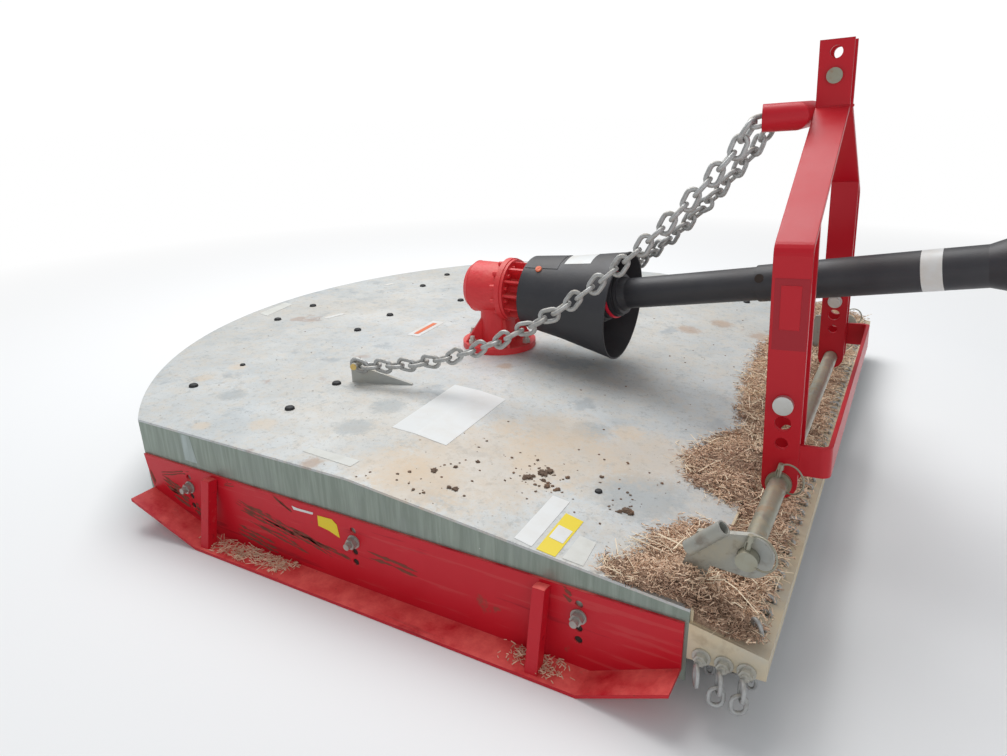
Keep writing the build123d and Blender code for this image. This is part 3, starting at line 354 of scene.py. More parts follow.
materials = {
    "deck": finish("deck zinc", (0.56, 0.585, 0.59), 0.52, 0.25, zinc_clouds + [
        cloud("patches", 1.6, 0.47, 0.68, "tan", 0.20, 0.8, 7.0),
        cloud("grit", 22.0, 0.48, 0.56, (0.62, 0.53, 0.42), 0.34, 0.85, 4.0),
        cloud("grit", 38.0, 0.54, 0.60, (0.32, 0.34, 0.34), 0.50, 0.7, 13.0),
        cloud("grit", 9.0, 0.57, 0.62, (0.34, 0.37, 0.38), 0.45, 0.7, 21.0),
        dust(0.75, 5.0, (0.60, 0.54, 0.45), 0.25, 0.85),
        cloud("patches", 6.0, 0.60, 0.66, (0.33, 0.36, 0.38), 0.5, 0.55, 1.0),
        cloud("patches", 5.0, 0.655, 0.70, "rust", 0.35, 0.85, 11.0),
        cloud("grit", 110.0, 0.57, 0.61, (0.30, 0.31, 0.30), 0.55, 0.7, 31.0),
        specks(26.0, 0.14, "soil", 0.7, 0.9, 2.0),
        specks(75.0, 0.20, "soil", 0.6, 0.9, 9.0)] + deck_stains, bump=(0.0006, 60.0)),
    # Painted shade and a painted green reflection of the grass: the side bands' zinc is much darker and
    # greener than the deck's.
    "shaded_band": finish("band zinc", (0.22, 0.265, 0.225), 0.42, 0.45, [
        cloud("runs", 85.0, 0.4, 0.7, (0.36, 0.42, 0.37), 0.6, 0.5),
        cloud("patches", 12.0, 0.5, 0.75, (0.24, 0.28, 0.26), 0.6, 0.4, 3.0),
        specks(60.0, 0.10, (0.70, 0.72, 0.70), 0.6, 0.6),
        dust(1.0, 12.0, "tan", 0.6, 0.85)], bump=(0.0004, 50.0)),
    "galvanised": finish("hitch zinc", (0.50, 0.49, 0.44), 0.45, 0.4, zinc_clouds + [
        cloud("patches", 14.0, 0.5, 0.7, "tan", 0.5, 0.8, 4.0),
        dust(1.0, 14.0, "dust", 0.55, 0.9),
        specks(55.0, 0.10, "soil", 0.6, 0.9, 2.0)], bump=(0.0006, 70.0)),
    "bracket": finish("bracket zinc", (0.34, 0.33, 0.28), 0.45, 0.4, zinc_clouds[:1] + [
        cloud("patches", 16.0, 0.48, 0.7, (0.50, 0.44, 0.32), 0.6, 0.8, 4.0),
        cloud("patches", 24.0, 0.55, 0.68, "soil", 0.5, 0.9, 9.0),
        dust(1.0, 14.0, (0.62, 0.58, 0.50), 0.6, 0.9),
        specks(55.0, 0.14, "soil", 0.7, 0.9, 2.0)], bump=(0.0008, 60.0), edge=0.0015),
    "shelf": finish("shelf zinc", (0.68, 0.59, 0.43), 0.5, 0.25, zinc_clouds[:1] + [
        cloud("patches", 7.0, 0.35, 0.6, (0.72, 0.58, 0.38), 0.7, 0.8, 4.0),
        cloud("patches", 16.0, 0.56, 0.68, (0.40, 0.30, 0.19), 0.5, 0.9, 9.0),
        dust(1.0, 14.0, "tan", 0.6, 0.9),
        specks(55.0, 0.10, "soil", 0.6, 0.9, 2.0)], bump=(0.0006, 70.0)),
    "zinc": finish("plated zinc", (0.34, 0.335, 0.27), 0.36, 0.7, [
        cloud("patches", 30.0, 0.45, 0.75, (0.30, 0.27, 0.19), 0.6, 0.5),
        cloud("patches", 20.0, 0.6, 0.7, "rust", 0.6, 0.8, 5.0),
        dust(1.0, 30.0, "dust", 0.5, 0.9)], bump=(0.0003, 150.0)),
    "rod_zinc": finish("zinc of the rods", (0.56, 0.545, 0.49), 0.4, 0.5, [
        cloud("patches", 40.0, 0.5, 0.75, (0.36, 0.33, 0.27), 0.5, 0.6),
        cloud("patches", 55.0, 0.6, 0.68, "rust", 0.5, 0.8, 6.0)], bump=(0.0003, 150.0),
        edge=0.001),
    "gold_zinc": finish("yellow zinc", (0.78, 0.56, 0.20), 0.35, 0.7),
    "bright_zinc": finish("bright zinc", (0.62, 0.62, 0.60), 0.3, 0.75, [
        cloud("patches", 30.0, 0.5, 0.75, (0.45, 0.42, 0.36), 0.5, 0.5)], bump=(0.0003, 150.0),
        edge=0.001),
    "weathered": finish("weathered bolts", (0.40, 0.38, 0.35), 0.45, 0.55, [
        cloud("patches", 70.0, 0.5, 0.75, (0.22, 0.17, 0.13), 0.4, 0.7)], bump=(0.0001, 160.0),
        edge=0.0008),
    "chain_steel": finish("chain zinc", (0.47, 0.475, 0.47), 0.46, 0.55, [
        cloud("patches", 40.0, 0.45, 0.7, (0.30, 0.29, 0.27), 0.7, 0.6),
        dust(1.0, 40.0, "dust", 0.4, 0.85)], bump=(0.0005, 120.0)),
    "dark_steel": finish("browned steel", (0.13, 0.11, 0.10), 0.6, 0.5, [
        cloud("patches", 9.0, 0.45, 0.65, "rust", 0.6, 0.85),
        cloud("patches", 5.0, 0.5, 0.7, "soil", 0.8, 0.9, 2.0)], bump=(0.001, 90.0)),
}
print("metal finishes", sorted(materials))

# %% [markdown]
# The red paint is bright and fairly glossy. On the skids the grass has dragged soil along it in long dark
# streaks. Their faces that look up get a paler red, partly worn paint and partly a painted highlight that
# lifts the shade on the near side. The gearbox is painted over a rough casting. The guards are black
# plastic that has gone a little grey. Straw, soil, rubber plugs and the bare labels are plain finishes.

# %% Paint, plastic and loose finishes
red = (0.56, 0.006, 0.018)
chips = specks(45.0, 0.06, (0.10, 0.02, 0.02), 0.8, 0.7, 1.0)
materials.update({
    "red_paint": finish("red paint", (0.50, 0.004, 0.014), 0.34, 0.0, [
        cloud("patches", 3.0, 0.4, 0.7, (0.54, 0.008, 0.022), 0.6, 0.42),
        dust(0.7, 12.0, (0.62, 0.06, 0.06), 0.35, 0.7), chips], bump=(0.0002, 40.0),
        gloss=0.36, edge=0.0025),
    "dull_red": finish("dull red", (0.36, 0.006, 0.016), 0.42, 0.0, [chips], gloss=0.4),
    "skid_paint": finish("skid paint", red, 0.42, 0.0, [
        cloud("patches", 4.0, 0.4, 0.7, (0.62, 0.014, 0.030), 0.6, 0.5),
        cloud("scuffs", 40.0, 0.62, 0.66, (0.30, 0.006, 0.016), 0.5, 0.7, 6.0),
        cloud("scuffs", 48.0, 0.62, 0.66, (0.60, 0.08, 0.08), 0.35, 0.6, 2.0),
        cloud("patches", 9.0, 0.64, 0.68, "soil", 0.5, 0.9, 8.0),
        # Painted highlight: a paler red on the faces that look up, partly worn paint and partly lifting the
        # near side's shade.
        dust(1.0, 9.0, (1.0, 0.19, 0.16), 0.8, 0.7),
        specks(38.0, 0.12, (0.13, 0.03, 0.02), 0.7, 0.9, 3.0), chips],
        bump=(0.0004, 40.0), gloss=0.36, edge=0.002),
    "smear": finish("dried soil on paint", (0.21, 0.065, 0.045), 0.85, bump=(0.0006, 120.0), gloss=0.3),
    # The clean strip keeps the band's painted shade and green reflection, only lighter.
    "clean_band": finish("clean strip on the band", (0.40, 0.47, 0.46), 0.42, 0.4, [
        cloud("runs", 70.0, 0.4, 0.6, (0.26, 0.31, 0.28), 0.7, 0.5)]),
    "red_casting": finish("red casting", (0.74, 0.030, 0.038), 0.45, 0.0, [
        cloud("patches", 8.0, 0.4, 0.7, (0.78, 0.055, 0.06), 0.6, 0.5),
        dust(0.9, 14.0, (0.62, 0.24, 0.18), 0.5, 0.75),
        specks(55.0, 0.08, (0.16, 0.02, 0.02), 0.7, 0.7, 1.0)], bump=(0.0012, 110.0)),
    "black_plastic": finish("black plastic", (0.030, 0.030, 0.036), 0.42, 0.0, [
        cloud("patches", 6.0, 0.4, 0.75, (0.055, 0.055, 0.060), 0.7, 0.6),
        specks(60.0, 0.08, (0.10, 0.085, 0.07), 0.6, 0.8, 4.0),
        dust(0.6, 10.0, (0.14, 0.12, 0.10), 0.5, 0.8)], bump=(0.0003, 90.0)),
    # Painted shade: near-black for the dark inside of holes, on flat discs that stand in for them.
    "hole": finish("painted shade in a hole", (0.03, 0.02, 0.015), 0.9),
    "rubber": finish("rubber plug", (0.018, 0.018, 0.02), 0.6),
    "white_label": finish("white label", (0.72, 0.73, 0.72), 0.4, 0.0, [
        cloud("patches", 12.0, 0.45, 0.7, "tan", 0.35, 0.7),
        specks(70.0, 0.06, "soil", 0.6, 0.9)]),
    "printed_label": finish("label with faded print", (0.74, 0.75, 0.74), 0.4, 0.0, [
        cloud("patches", 14.0, 0.45, 0.75, (0.66, 0.63, 0.58), 0.5, 0.6),
        specks(90.0, 0.05, "soil", 0.6, 0.9)]),
    "worn_label": finish("worn label", (0.66, 0.66, 0.62), 0.5, 0.0, [
        cloud("patches", 22.0, 0.38, 0.72, (0.54, 0.53, 0.48), 0.7, 0.6)]),
    "yellow_label": finish("yellow label", (0.80, 0.62, 0.01), 0.4, 0.0, [
        specks(70.0, 0.06, "soil", 0.6, 0.9)]),
    "locking_ring": finish("red plastic ring", (0.90, 0.03, 0.07), 0.4),
    "orange_label": finish("orange label", (0.75, 0.18, 0.07), 0.45),
    "orange_plastic": finish("orange plastic", (0.80, 0.16, 0.06), 0.45),
    "straw": finish("straw", (0.88, 0.66, 0.48), 0.8, 0.0, [
        cloud("patches", 60.0, 0.4, 0.6, (0.60, 0.40, 0.27), 0.8, 0.85)]),
    # Brown straw and pale straw are straw's own darker and paler tones, and also the shaded and lit tones of
    # the pile: painted shade and painted highlight.
    "shaded_brown_straw": finish("shaded brown straw", (0.52, 0.34, 0.24), 0.85, 0.0, [
        cloud("patches", 70.0, 0.4, 0.6, (0.26, 0.165, 0.11), 0.8, 0.9)]),
    "lit_pale_straw": finish("lit pale straw", (0.92, 0.77, 0.57), 0.75),
    "litter": finish("litter", (0.31, 0.20, 0.14), 0.95, 0.0, [
        cloud("patches", 150.0, 0.4, 0.6, (0.54, 0.37, 0.26), 0.8, 0.95),
        cloud("patches", 30.0, 0.45, 0.65, (0.12, 0.075, 0.05), 0.7, 0.95, 3.0)],
        bump=(0.004, 260.0)),
    "clod": finish("dried mud", (0.15, 0.10, 0.07), 0.95, 0.0, [
        cloud("patches", 25.0, 0.5, 0.6, (0.22, 0.12, 0.07), 0.7, 0.95)], bump=(0.002, 200.0)),
})
print("finishes in all", len(materials))

# %% [markdown]
# ## Give every solid its finish
# The record already says which finish each solid has. A few solids want a finish of their own, such as the
# deck's sheets, the skids and the brackets. A short table names those, and the others take the finish of
# their slot.

# %% Finishes on the frame
own_finish = {"deck": ["deck_plate"], "shaded_band": ["side_wall_right", "side_wall_left", "rear_skirt"],
              "skid_paint": ["skid_right", "skid_left"],
              "shelf": ["front_shelf", "shelf_end_right", "shelf_end_left"],
              "bracket": ["hitch_bracket_right", "hitch_bracket_left"],
              "weathered": ["skid_bolts_right", "skid_bolts_left"],
              "bright_zinc": ["lower_link_pin_right", "lower_link_pin_left"],
              "rod_zinc": ["chain_rods", "gearbox_foot_bolts"]}
finish_of = {part["node"]: part["material_slot"] for part in frame["record"]["subparts"]}
finish_of.update((name, kind) for kind, names in own_finish.items() for name in names)
for name, thing in nodes.items():
    thing.data.materials.clear()
    thing.data.materials.append(materials[finish_of[name]])
print("dressed", len(nodes), "solids")

# %% [markdown]
# ## Modelling tools
# New pieces start from the primitives of bmesh. Each helper below adds one simple form at a place, and one
# turns the finished bmesh into an object that rides on a body of the frame. A matrix carries the place, so
# the object itself stays at the origin, unturned, as the solids do.

# %% Helpers for meshes
def facing(axis, origin=(0, 0, 0)):
    """A matrix that turns Z to the axis and moves to the origin."""
    return Matrix.Translation(Vector(origin)) @ Vector(axis).to_track_quat("Z", "Y").to_matrix().to_4x4()


def rod(bm, start, end, radius, segments=24, end_radius=None):
    """A round bar between two points."""
    start, end = Vector(start), Vector(end)
    depth = (end - start).length
    place = facing(end - start, (start + end) / 2)
    bmesh.ops.create_cone(bm, cap_ends=True, segments=segments, radius1=radius,
                          radius2=radius if end_radius is None else end_radius, depth=depth, matrix=place)


def block(bm, place, size):
    """A box of that size, centred on the place."""
    scale = Matrix.Diagonal((*size, 1.0))
    bmesh.ops.create_cube(bm, size=1.0, matrix=place @ scale)


def with_edges(verts):
    """Points and the edges at them, in a fixed order."""
    return verts + list(dict.fromkeys(edge for vert in verts for edge in vert.link_edges))


def ring(bm, place, radius, wire_radius, segments=32, sides=8):
    """A closed ring of round wire in the place's XY plane."""
    begin = place @ Matrix.Translation((radius, 0, 0)) @ Matrix.Rotation(math.pi / 2, 4, "X")
    verts = bmesh.ops.create_circle(bm, segments=sides, radius=wire_radius, matrix=begin)["verts"]
    centre = place.to_translation()
    axis = place.to_3x3() @ Vector((0, 0, 1))
    bmesh.ops.spin(bm, geom=with_edges(verts), cent=centre, axis=axis, angle=2 * math.pi, steps=segments,
                   use_merge=True, use_duplicate=False)


def soften(bm, width, segments=2, edges=None):
    """Rounds edges as wide as a real corner."""
    bmesh.ops.bevel(bm, geom=list(edges or bm.edges), offset=width, segments=segments, profile=0.5,
                    affect="EDGES", clamp_overlap=True, material=-1)


def piece(name, bm, material, body, smooth=30.0):
    """Makes the object, with faces outwards, and lets it ride on a body of the frame."""
    bmesh.ops.recalc_face_normals(bm, faces=bm.faces)
    mesh = bpy.data.meshes.new(name)
    bm.to_mesh(mesh)
    bm.free()
    mesh.materials.append(materials[material])
    made = bpy.data.objects.new(name, mesh)
    bpy.context.scene.collection.objects.link(made)
    if smooth:
        mesh.shade_smooth()
        mesh.set_sharp_from_angle(angle=math.radians(smooth))
    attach(made, body)
    print(name, len(mesh.polygons), "faces")
    return made


def stamp(bm, pattern, place):
    """Adds a copy of a small mesh at a place."""
    copy = pattern.copy()
    copy.transform(place)
    bm.from_mesh(copy)
    bpy.data.meshes.remove(copy)


def pattern_of(bm):
    """Keeps a small bmesh as a pattern for stamping."""
    bmesh.ops.recalc_face_normals(bm, faces=bm.faces)
    mesh = bpy.data.meshes.new("pattern")
    bm.to_mesh(mesh)
    bm.free()
    return mesh


# %% [markdown]
# ## Round chain links
# The solids draw each link as a bent bar with straight sides. A real link is round wire bent to a long oval.
# Its shape is two half turns of a small circle, joined by straight runs, so spin and extrude make it. The
# same function serves the heavy lift chain and the light chain of the curtain.

# %% A round link
def edges_among(items):
    """The edges among what an operator gives back."""
    return [item for item in items if isinstance(item, bmesh.types.BMEdge)]


def oval_link(inner_length, width, wire_diameter, sides=8, steps=7):
    """A link in the XY plane along X, of round wire."""
    bm = bmesh.new()
    radius = (width - wire_diameter) / 2
    straight = (inner_length + wire_diameter) / 2 - radius
    place = Matrix.Translation((straight, radius, 0)) @ Matrix.Rotation(math.pi / 2, 4, "Y")
    verts = bmesh.ops.create_circle(bm, segments=sides, radius=wire_diameter / 2, matrix=place)["verts"]
    section = with_edges(verts)
    for bend in (straight, -straight):
        turned = bmesh.ops.spin(bm, geom=section, cent=(bend, 0, 0), axis=(0, 0, 1), angle=-math.pi,
                                steps=steps, use_duplicate=False)["geom_last"]
        run = bmesh.ops.extrude_edge_only(bm, edges=edges_among(turned))["geom"]
        verts = [item for item in run if isinstance(item, bmesh.types.BMVert)]
        bmesh.ops.translate(bm, vec=(-2 * bend, 0, 0), verts=verts)
        section = verts + [edge for edge in edges_among(run) if set(edge.verts) <= set(verts)]
    bmesh.ops.remove_doubles(bm, verts=bm.verts, dist=1e-5)
    return pattern_of(bm)


heavy_link = oval_link(0.039, 0.043, 0.0122, sides=10, steps=8)
print("heavy link", len(heavy_link.polygons), "faces")

# %% [markdown]
# Each new link takes its place from the solid one: the loose parts of the solid chain are found, and the long
# and the short axis of each give its direction and its plane. So the chain hangs exactly where the frame has
# it. At the top it goes into the chain tube on the headstock, which tips, and at the bottom it is pinned to
# the deck. The chain is then taken off the frame's body again, and its place is baked into its points. The
# chain therefore bends between the two bodies.

# %% Lift chains
def islands(mesh):
    """The points of each loose part of a mesh."""
    bm = bmesh.new()
    bm.from_mesh(mesh)
    bmesh.ops.remove_doubles(bm, verts=bm.verts, dist=1e-6)
    left, groups = set(bm.verts), []
    for first in bm.verts:
        if first not in left:
            continue
        left.remove(first)
        found, stack = [], [first]
        while stack:
            vert = stack.pop()
            found.append(vert.co.copy())
            for edge in vert.link_edges:
                other = edge.other_vert(vert)
                if other in left:
                    left.remove(other)
                    stack.append(other)
        groups.append(found)
    bm.free()
    return groups


def middle_of(points):
    """The mean of some points."""
    return sum(points, Vector()) / len(points)


def main_direction(offsets, share):
    """The mean direction of the offsets that reach farthest, either way."""
    far = max(offsets, key=lambda offset: offset.length)
    ends = [offset for offset in offsets if abs(offset.dot(far)) > share * far.length ** 2]
    return sum((offset if offset.dot(far) > 0 else -offset for offset in ends), Vector()).normalized()


def link_place(points):
    """The matrix of a solid link, from the spread of its points."""
    centre = middle_of(points)
    offsets = [point - centre for point in points]
    along = main_direction(offsets, 0.86)
    side = main_direction([offset - along * offset.dot(along) for offset in offsets], 0.75)
    normal = along.cross(side).normalized()
    return Matrix.Translation(centre) @ Matrix((along, normal.cross(along), normal)).transposed().to_4x4()


for side in ("right", "left"):
    bm = bmesh.new()
    links = islands(nodes[f"lift_chain_{side}"].data)
    for points in links:
        stamp(bm, heavy_link, link_place(points))
    chain = piece(f"round_lift_chain_{side}", bm, "chain_steel", "frame", smooth=60)
    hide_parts(f"lift_chain_{side}")
    low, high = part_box(f"lift_chain_{side}")
    chain.parent = None
    del chain["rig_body"]
    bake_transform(chain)
    print(side, "chain:", len(links), "links")

# %% [markdown]
# The solid chain stops about a link short of the tube. A few more links bend it over the tube's lip and into
# its bore, where the real chain goes on to the other side. Each starts at the end of the one before it, leans
# nearer to the tube's axis, and is rolled a little, as links are that lie against a wall.

# %% Last links into the chain tube
link_reach = 0.0384
tube_links = {"right": [(60, 12, -25), (15, 10, 40), (3, 8, -50)],
              "left": [(62, -24, 55), (2, -12, -30), (3, -8, 60)]}
for side, leans in tube_links.items():
    bm = bmesh.new()
    last = max(islands(nodes[f"lift_chain_{side}"].data), key=lambda points: max(p.z for p in points))
    end_place = link_place(last)
    along = end_place.to_3x3().col[0]
    joint = end_place.to_translation() + along * math.copysign(link_reach / 2, along.z)
    for slope, heading, roll in leans:
        aim = Matrix.Rotation(math.radians(heading), 4, "Z") @ Matrix.Rotation(math.radians(-slope), 4, "Y")
        link = aim @ Matrix.Rotation(math.radians(roll), 4, "X") @ Matrix.Translation((link_reach / 2, 0, 0))
        stamp(bm, heavy_link, Matrix.Translation(joint) @ link)
        joint = joint + aim @ Vector((link_reach, 0, 0))
    piece(f"chain_end_{side}", bm, "chain_steel", "headstock", smooth=60)
    print(side, "chain ends in the tube at", [round(v, 3) for v in joint])

# %% [markdown]
# ## The chain curtain
# Short strands of chain hang from three rods under the shelf, to stop what the blades throw forward. The
# solids stand for each strand with one bar. Here each bar becomes a strand of small links, turned by a
# quarter from one to the next. The loops on top of the shelf are the ends that ride over its front edge.

# %% Curtain strands
light_link = oval_link(0.020, 0.0235, 0.0068, sides=6, steps=4)
loop_link = oval_link(0.0235, 0.0255, 0.0075, sides=8, steps=5)
link_step = 0.0205
first_drop, foot_gap = 0.017, 0.010
shortest_strand = 0.06
end_up = Matrix.Rotation(math.pi / 2, 4, "Y")


def height_of(points):
    """How tall a loose part is."""
    return max(point.z for point in points) - min(point.z for point in points)


def strand(bm, points, chance):
    """Links from the top of a solid bar to its foot, each turned a quarter from the last."""
    top_z = max(point.z for point in points)
    centre = middle_of(points)
    lean = chance.uniform(-0.05, 0.05)
    for index in range(int((height_of(points) - foot_gap) / link_step)):
        drop = first_drop + index * link_step
        place = Matrix.Translation((centre.x + lean * drop * 0.4, centre.y + lean * drop, top_z - drop))
        quarter = Matrix.Rotation(math.radians(90 * (index % 2) + chance.uniform(-14, 14)), 4, "Z")
        stamp(bm, light_link, place @ quarter @ end_up)


for row in ("rear", "middle", "front"):
    chance = random.Random(row)
    bm = bmesh.new()
    bars = islands(nodes[f"chain_row_{row}"].data)
    strands = [points for points in bars if height_of(points) > shortest_strand]
    loops = [points for points in bars if height_of(points) <= shortest_strand]
    for points in strands:
        strand(bm, points, chance)
    for points in loops:
        twist = Matrix.Rotation(math.radians(chance.uniform(-16, 16)), 4, "Z")
        upright = Matrix.Rotation(math.pi / 2, 4, "X")
        stamp(bm, loop_link, Matrix.Translation(middle_of(points)) @ twist @ upright)
    made = piece(f"curtain_links_{row}", bm, "chain_steel", "frame", smooth=60)
    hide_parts(f"chain_row_{row}")
    print(row, "row:", len(strands), "strands", len(loops), "loops")

# %% [markdown]
# ## Deck plugs
# Rubber plugs close the holes of the deck, where parts of other machines of the same family would be bolted.
# Each is a low dome: a short disc whose top edge is bevelled widely.

# %% Plugs on the deck
plug_sizes = {  # radius and height, and the places
    (0.014, 0.008): [(-0.632, -0.891), (-0.240, -0.890), (-0.252, -0.685), (-0.938, -0.249), (-0.956, -0.033),
                     (-0.555, -0.226), (-0.571, -0.011), (-0.735, 0.446), (-0.759, 0.683), (-0.436, 0.297),
                     (0.262, 0.862), (0.612, 0.905)],
    (0.009, 0.005): [(-0.645, -0.690), (-0.372, 0.640), (0.659, -0.856)]}
seat_depth = 0.001


def plug(bm, x, y, radius, height):
    """A domed plug that sits on the deck."""
    base = at(x, y, deck_z(x) - seat_depth)
    before = set(bm.verts)
    rod(bm, base, base + Vector((0, 0, height + seat_depth)), radius, 24, radius * 0.92)
    upper = [edge for edge in bm.edges if not before & set(edge.verts)
             and all(vert.co.z > base.z + height * 0.8 for vert in edge.verts)]
    soften(bm, height * 0.6, 3, upper)


bm = bmesh.new()
for size, places in plug_sizes.items():
    for x, y in places:
        plug(bm, x, y, *size)
piece("deck_plugs", bm, "rubber", "frame", smooth=40)

# %% [markdown]
# ## Bare labels
# The machine carries stickers. Here they are bare plates of the same size and colour, because nothing on the
# part names or warns. Each is cut as a four-sided face from its corners, lifted a hair off the deck, and
# given a thin edge so that it catches the light like vinyl.

# %% Labels on the deck and the skid
flat, raised = 0.0003, 0.001
deck_labels = [
    ("main", "printed", flat, [(0.073, -0.536), (0.254, -0.552), (0.264, -0.873), (0.090, -0.862)]),
    ("speed", "printed", flat, [(0.581, -0.929), (0.623, -0.932), (0.626, -1.120), (0.584, -1.114)]),
    ("yellow", "yellow", flat, [(0.634, -0.976), (0.678, -0.984), (0.679, -1.124), (0.637, -1.122)]),
    ("worn", "worn", flat, [(0.691, -1.033), (0.729, -1.038), (0.736, -1.120), (0.692, -1.120)]),
    ("small", "white", flat, [(-0.370, -0.004), (-0.318, -0.004), (-0.305, -0.191), (-0.354, -0.193)]),
    ("faint", "worn", flat, [(-0.017, -1.044), (0.138, -1.046), (0.137, -1.080), (-0.019, -1.070)]),
    ("rear_corner", "worn", flat, [(-1.076, -0.213), (-1.108, -0.039), (-1.056, -0.052), (-1.022, -0.224)]),
    ("rear_middle", "white", flat, [(-0.790, -0.150), (-0.768, -0.066), (-0.748, -0.072), (-0.770, -0.156)]),
    ("rear_far", "white", flat, [(-0.925, 0.395), (-0.905, 0.435), (-0.880, 0.428), (-0.898, 0.392)]),
    ("small_stripe", "orange", raised,
     [(-0.352, -0.030), (-0.334, -0.030), (-0.322, -0.170), (-0.340, -0.172)]),
    ("yellow_patch", "white", raised, [(0.640, -1.024), (0.674, -1.030), (0.674, -1.078), (0.641, -1.073)])]
skid_labels = [
    ("skid_label", "yellow", [(0.068, 0.170), (0.112, 0.172), (0.126, 0.161), (0.131, 0.127), (0.098, 0.138),
                              (0.067, 0.142)]),
    ("skid_strip", "white", [(-0.013, 0.174), (0.006, 0.172), (0.055, 0.174), (0.053, 0.168), (0.008, 0.166),
                             (-0.008, 0.165)])]
skid_face = 1.133


def thin_plate(name, bm, material, normal, body="frame", thickness=0.0006):
    """Thickens the faces of a flat outline along the normal."""
    risen = bmesh.ops.extrude_face_region(bm, geom=list(bm.faces))["geom"]
    verts = [item for item in risen if isinstance(item, bmesh.types.BMVert)]
    bmesh.ops.translate(bm, vec=Vector(normal) * thickness, verts=verts)
    return piece(name, bm, material, body, smooth=0)


for name, paint, lift, corners in deck_labels:
    bm = bmesh.new()
    bm.faces.new([bm.verts.new(at(x, y, 0)) for x, y in corners])
    everything = bm.verts[:] + bm.edges[:] + bm.faces[:]
    bmesh.ops.bisect_plane(bm, geom=everything, plane_co=at(knee_x, 0, 0), plane_no=(1, 0, 0))
    for vert in bm.verts:
        vert.co.z = deck_z(vert.co.x - rotor_x) + lift
    thin_plate(f"label_{name}", bm, f"{paint}_label", (0, 0, 1))
for name, paint, corners in skid_labels:
    bm = bmesh.new()
    bm.faces.new([bm.verts.new(at(x, -skid_face - flat, z)) for x, z in corners])
    thin_plate(name, bm, f"{paint}_label", (0, -1, 0))


# %% [markdown]
# ## Soil smears on the near skid
# Wet soil has been dragged along the skid and dried in parallel streaks. Each streak is a very thin ribbon
# with a ragged edge, which is what dried mud is. The noise thins a ribbon here and there until it breaks up,
# and the holes for the bolts stay open. The skid is bolted to the band, and a near-black disc stands just
# behind each lower bolt hole as painted shade for the hole's dark inside. A pale upright strip on the band
# above was kept clean by a tape.

# %% Smears, holes and the clean strip
smears = [  # start x and z, end x and z, spread across, strands
    (-0.215, 0.136, 0.110, 0.073, 0.016, 3), (-0.217, 0.116, 0.010, 0.084, 0.008, 2),
    (-0.180, 0.092, 0.030, 0.052, 0.010, 2), (-0.503, 0.142, -0.375, 0.176, 0.006, 2),
    (-0.076, 0.188, -0.010, 0.152, 0.006, 2), (-0.060, 0.110, 0.212, 0.066, 0.008, 2),
    (0.200, 0.108, 0.360, 0.098, 0.014, 2), (-0.249, 0.172, -0.207, 0.181, 0.004, 2),
    (-0.500, 0.128, -0.410, 0.098, 0.024, 3), (-0.480, 0.102, -0.355, 0.066, 0.024, 3),
    (-0.225, 0.052, -0.080, 0.030, 0.024, 3), (-0.548, 0.145, -0.532, 0.090, 0.012, 2),
    (0.700, 0.182, 0.722, 0.166, 0.020, 3), (-0.395, 0.075, -0.330, 0.050, 0.014, 2)]
bolt_holes = [(x, z) for x in (-0.386, 0.173, 0.734) for z in (0.158, 0.130, 0.102, 0.074)]
lowest_bolt_z = 0.12
streak_step, thinnest = 0.005, 0.0003
hole_radius, hole_depth = 0.0084, 0.003


def streak(bm, start, end, width, seed):
    """A ragged ribbon on the skid's face between two points in X and Z."""
    start, end = Vector((start[0], 0, start[1])), Vector((end[0], 0, end[1]))
    run = end - start
    across = Vector((run.z, 0, -run.x)).normalized()
    steps = max(int(run.length / streak_step), 3)
    before = None
    for index in range(steps + 1):
        share = index / steps
        rough = noise.noise(Vector((share * run.length * 60, seed * 3.7, 0)))
        sway = noise.noise(Vector((share * run.length * 14, seed * 1.9, 5)))
        half = width * max(0.0, min(1.0, 6 * share, 6 * (1 - share)) * (0.55 + 0.9 * rough)) / 2
        middle = start + run * share + across * sway * 0.006
        centre = at(middle.x, -skid_face - 0.0002, middle.z)
        pair = [bm.verts.new(centre - across * half), bm.verts.new(centre + across * half)]
        clear = all(math.hypot(middle.x - x, middle.z - z) > 0.011 + width / 2 for x, z in bolt_holes)
        if before and half > thinnest and clear:
            bm.faces.new((before[0], before[1], pair[1], pair[0]))
        before = pair


bm = bmesh.new()
for number, (x1, z1, x2, z2, spread, strands) in enumerate(smears):
    for strand_number in range(strands):
        shift = spread * (strand_number / (strands - 1) - 0.5)
        trim = 0.25 * abs(noise.noise(Vector((number * 2.3, strand_number * 5.1, 1))))
        first = (x1 + (x2 - x1) * trim, z1 + (z2 - z1) * trim + shift)
        last = (x2 - (x2 - x1) * trim * 0.8, z2 - (z2 - z1) * trim * 0.8 + shift)
        streak(bm, first, last, 1.1 * spread / strands + 0.0026, number * 11 + strand_number)
bmesh.ops.delete(bm, geom=[vert for vert in bm.verts if not vert.link_faces], context="VERTS")
thin_plate("skid_smears", bm, "smear", (0, -1, 0), thickness=0.0003)

bm = bmesh.new()
# Painted shade: a near-black disc behind each lower bolt hole.
for x, z in bolt_holes:
    if z < lowest_bolt_z:
        behind = facing((0, -1, 0), at(x, -skid_face + hole_depth, z))
        bmesh.ops.create_circle(bm, cap_ends=True, radius=hole_radius, segments=24, matrix=behind)
piece("skid_hole_shade_discs", bm, "hole", "frame", smooth=0)

band_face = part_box("side_wall_right")[0].y
bm = bmesh.new()
strip = [(-0.395, 0.281), (-0.360, 0.281), (-0.346, 0.206), (-0.394, 0.206)]
bm.faces.new([bm.verts.new(at(x, band_face - 0.0002, z)) for x, z in strip])
thin_plate("clean_strip", bm, "clean_band", (0, -1, 0), thickness=0.0002)


# %% [markdown]
# ## Straw and litter
# Cut grass dries on the front of the deck and fills the shelf. It is modelled in two layers: a lumpy mat that
# lies on the sheet and thins out at its edge, and loose stalks on top of it. The mat is a grid cut to the
# shape of the pile and lifted by noise.

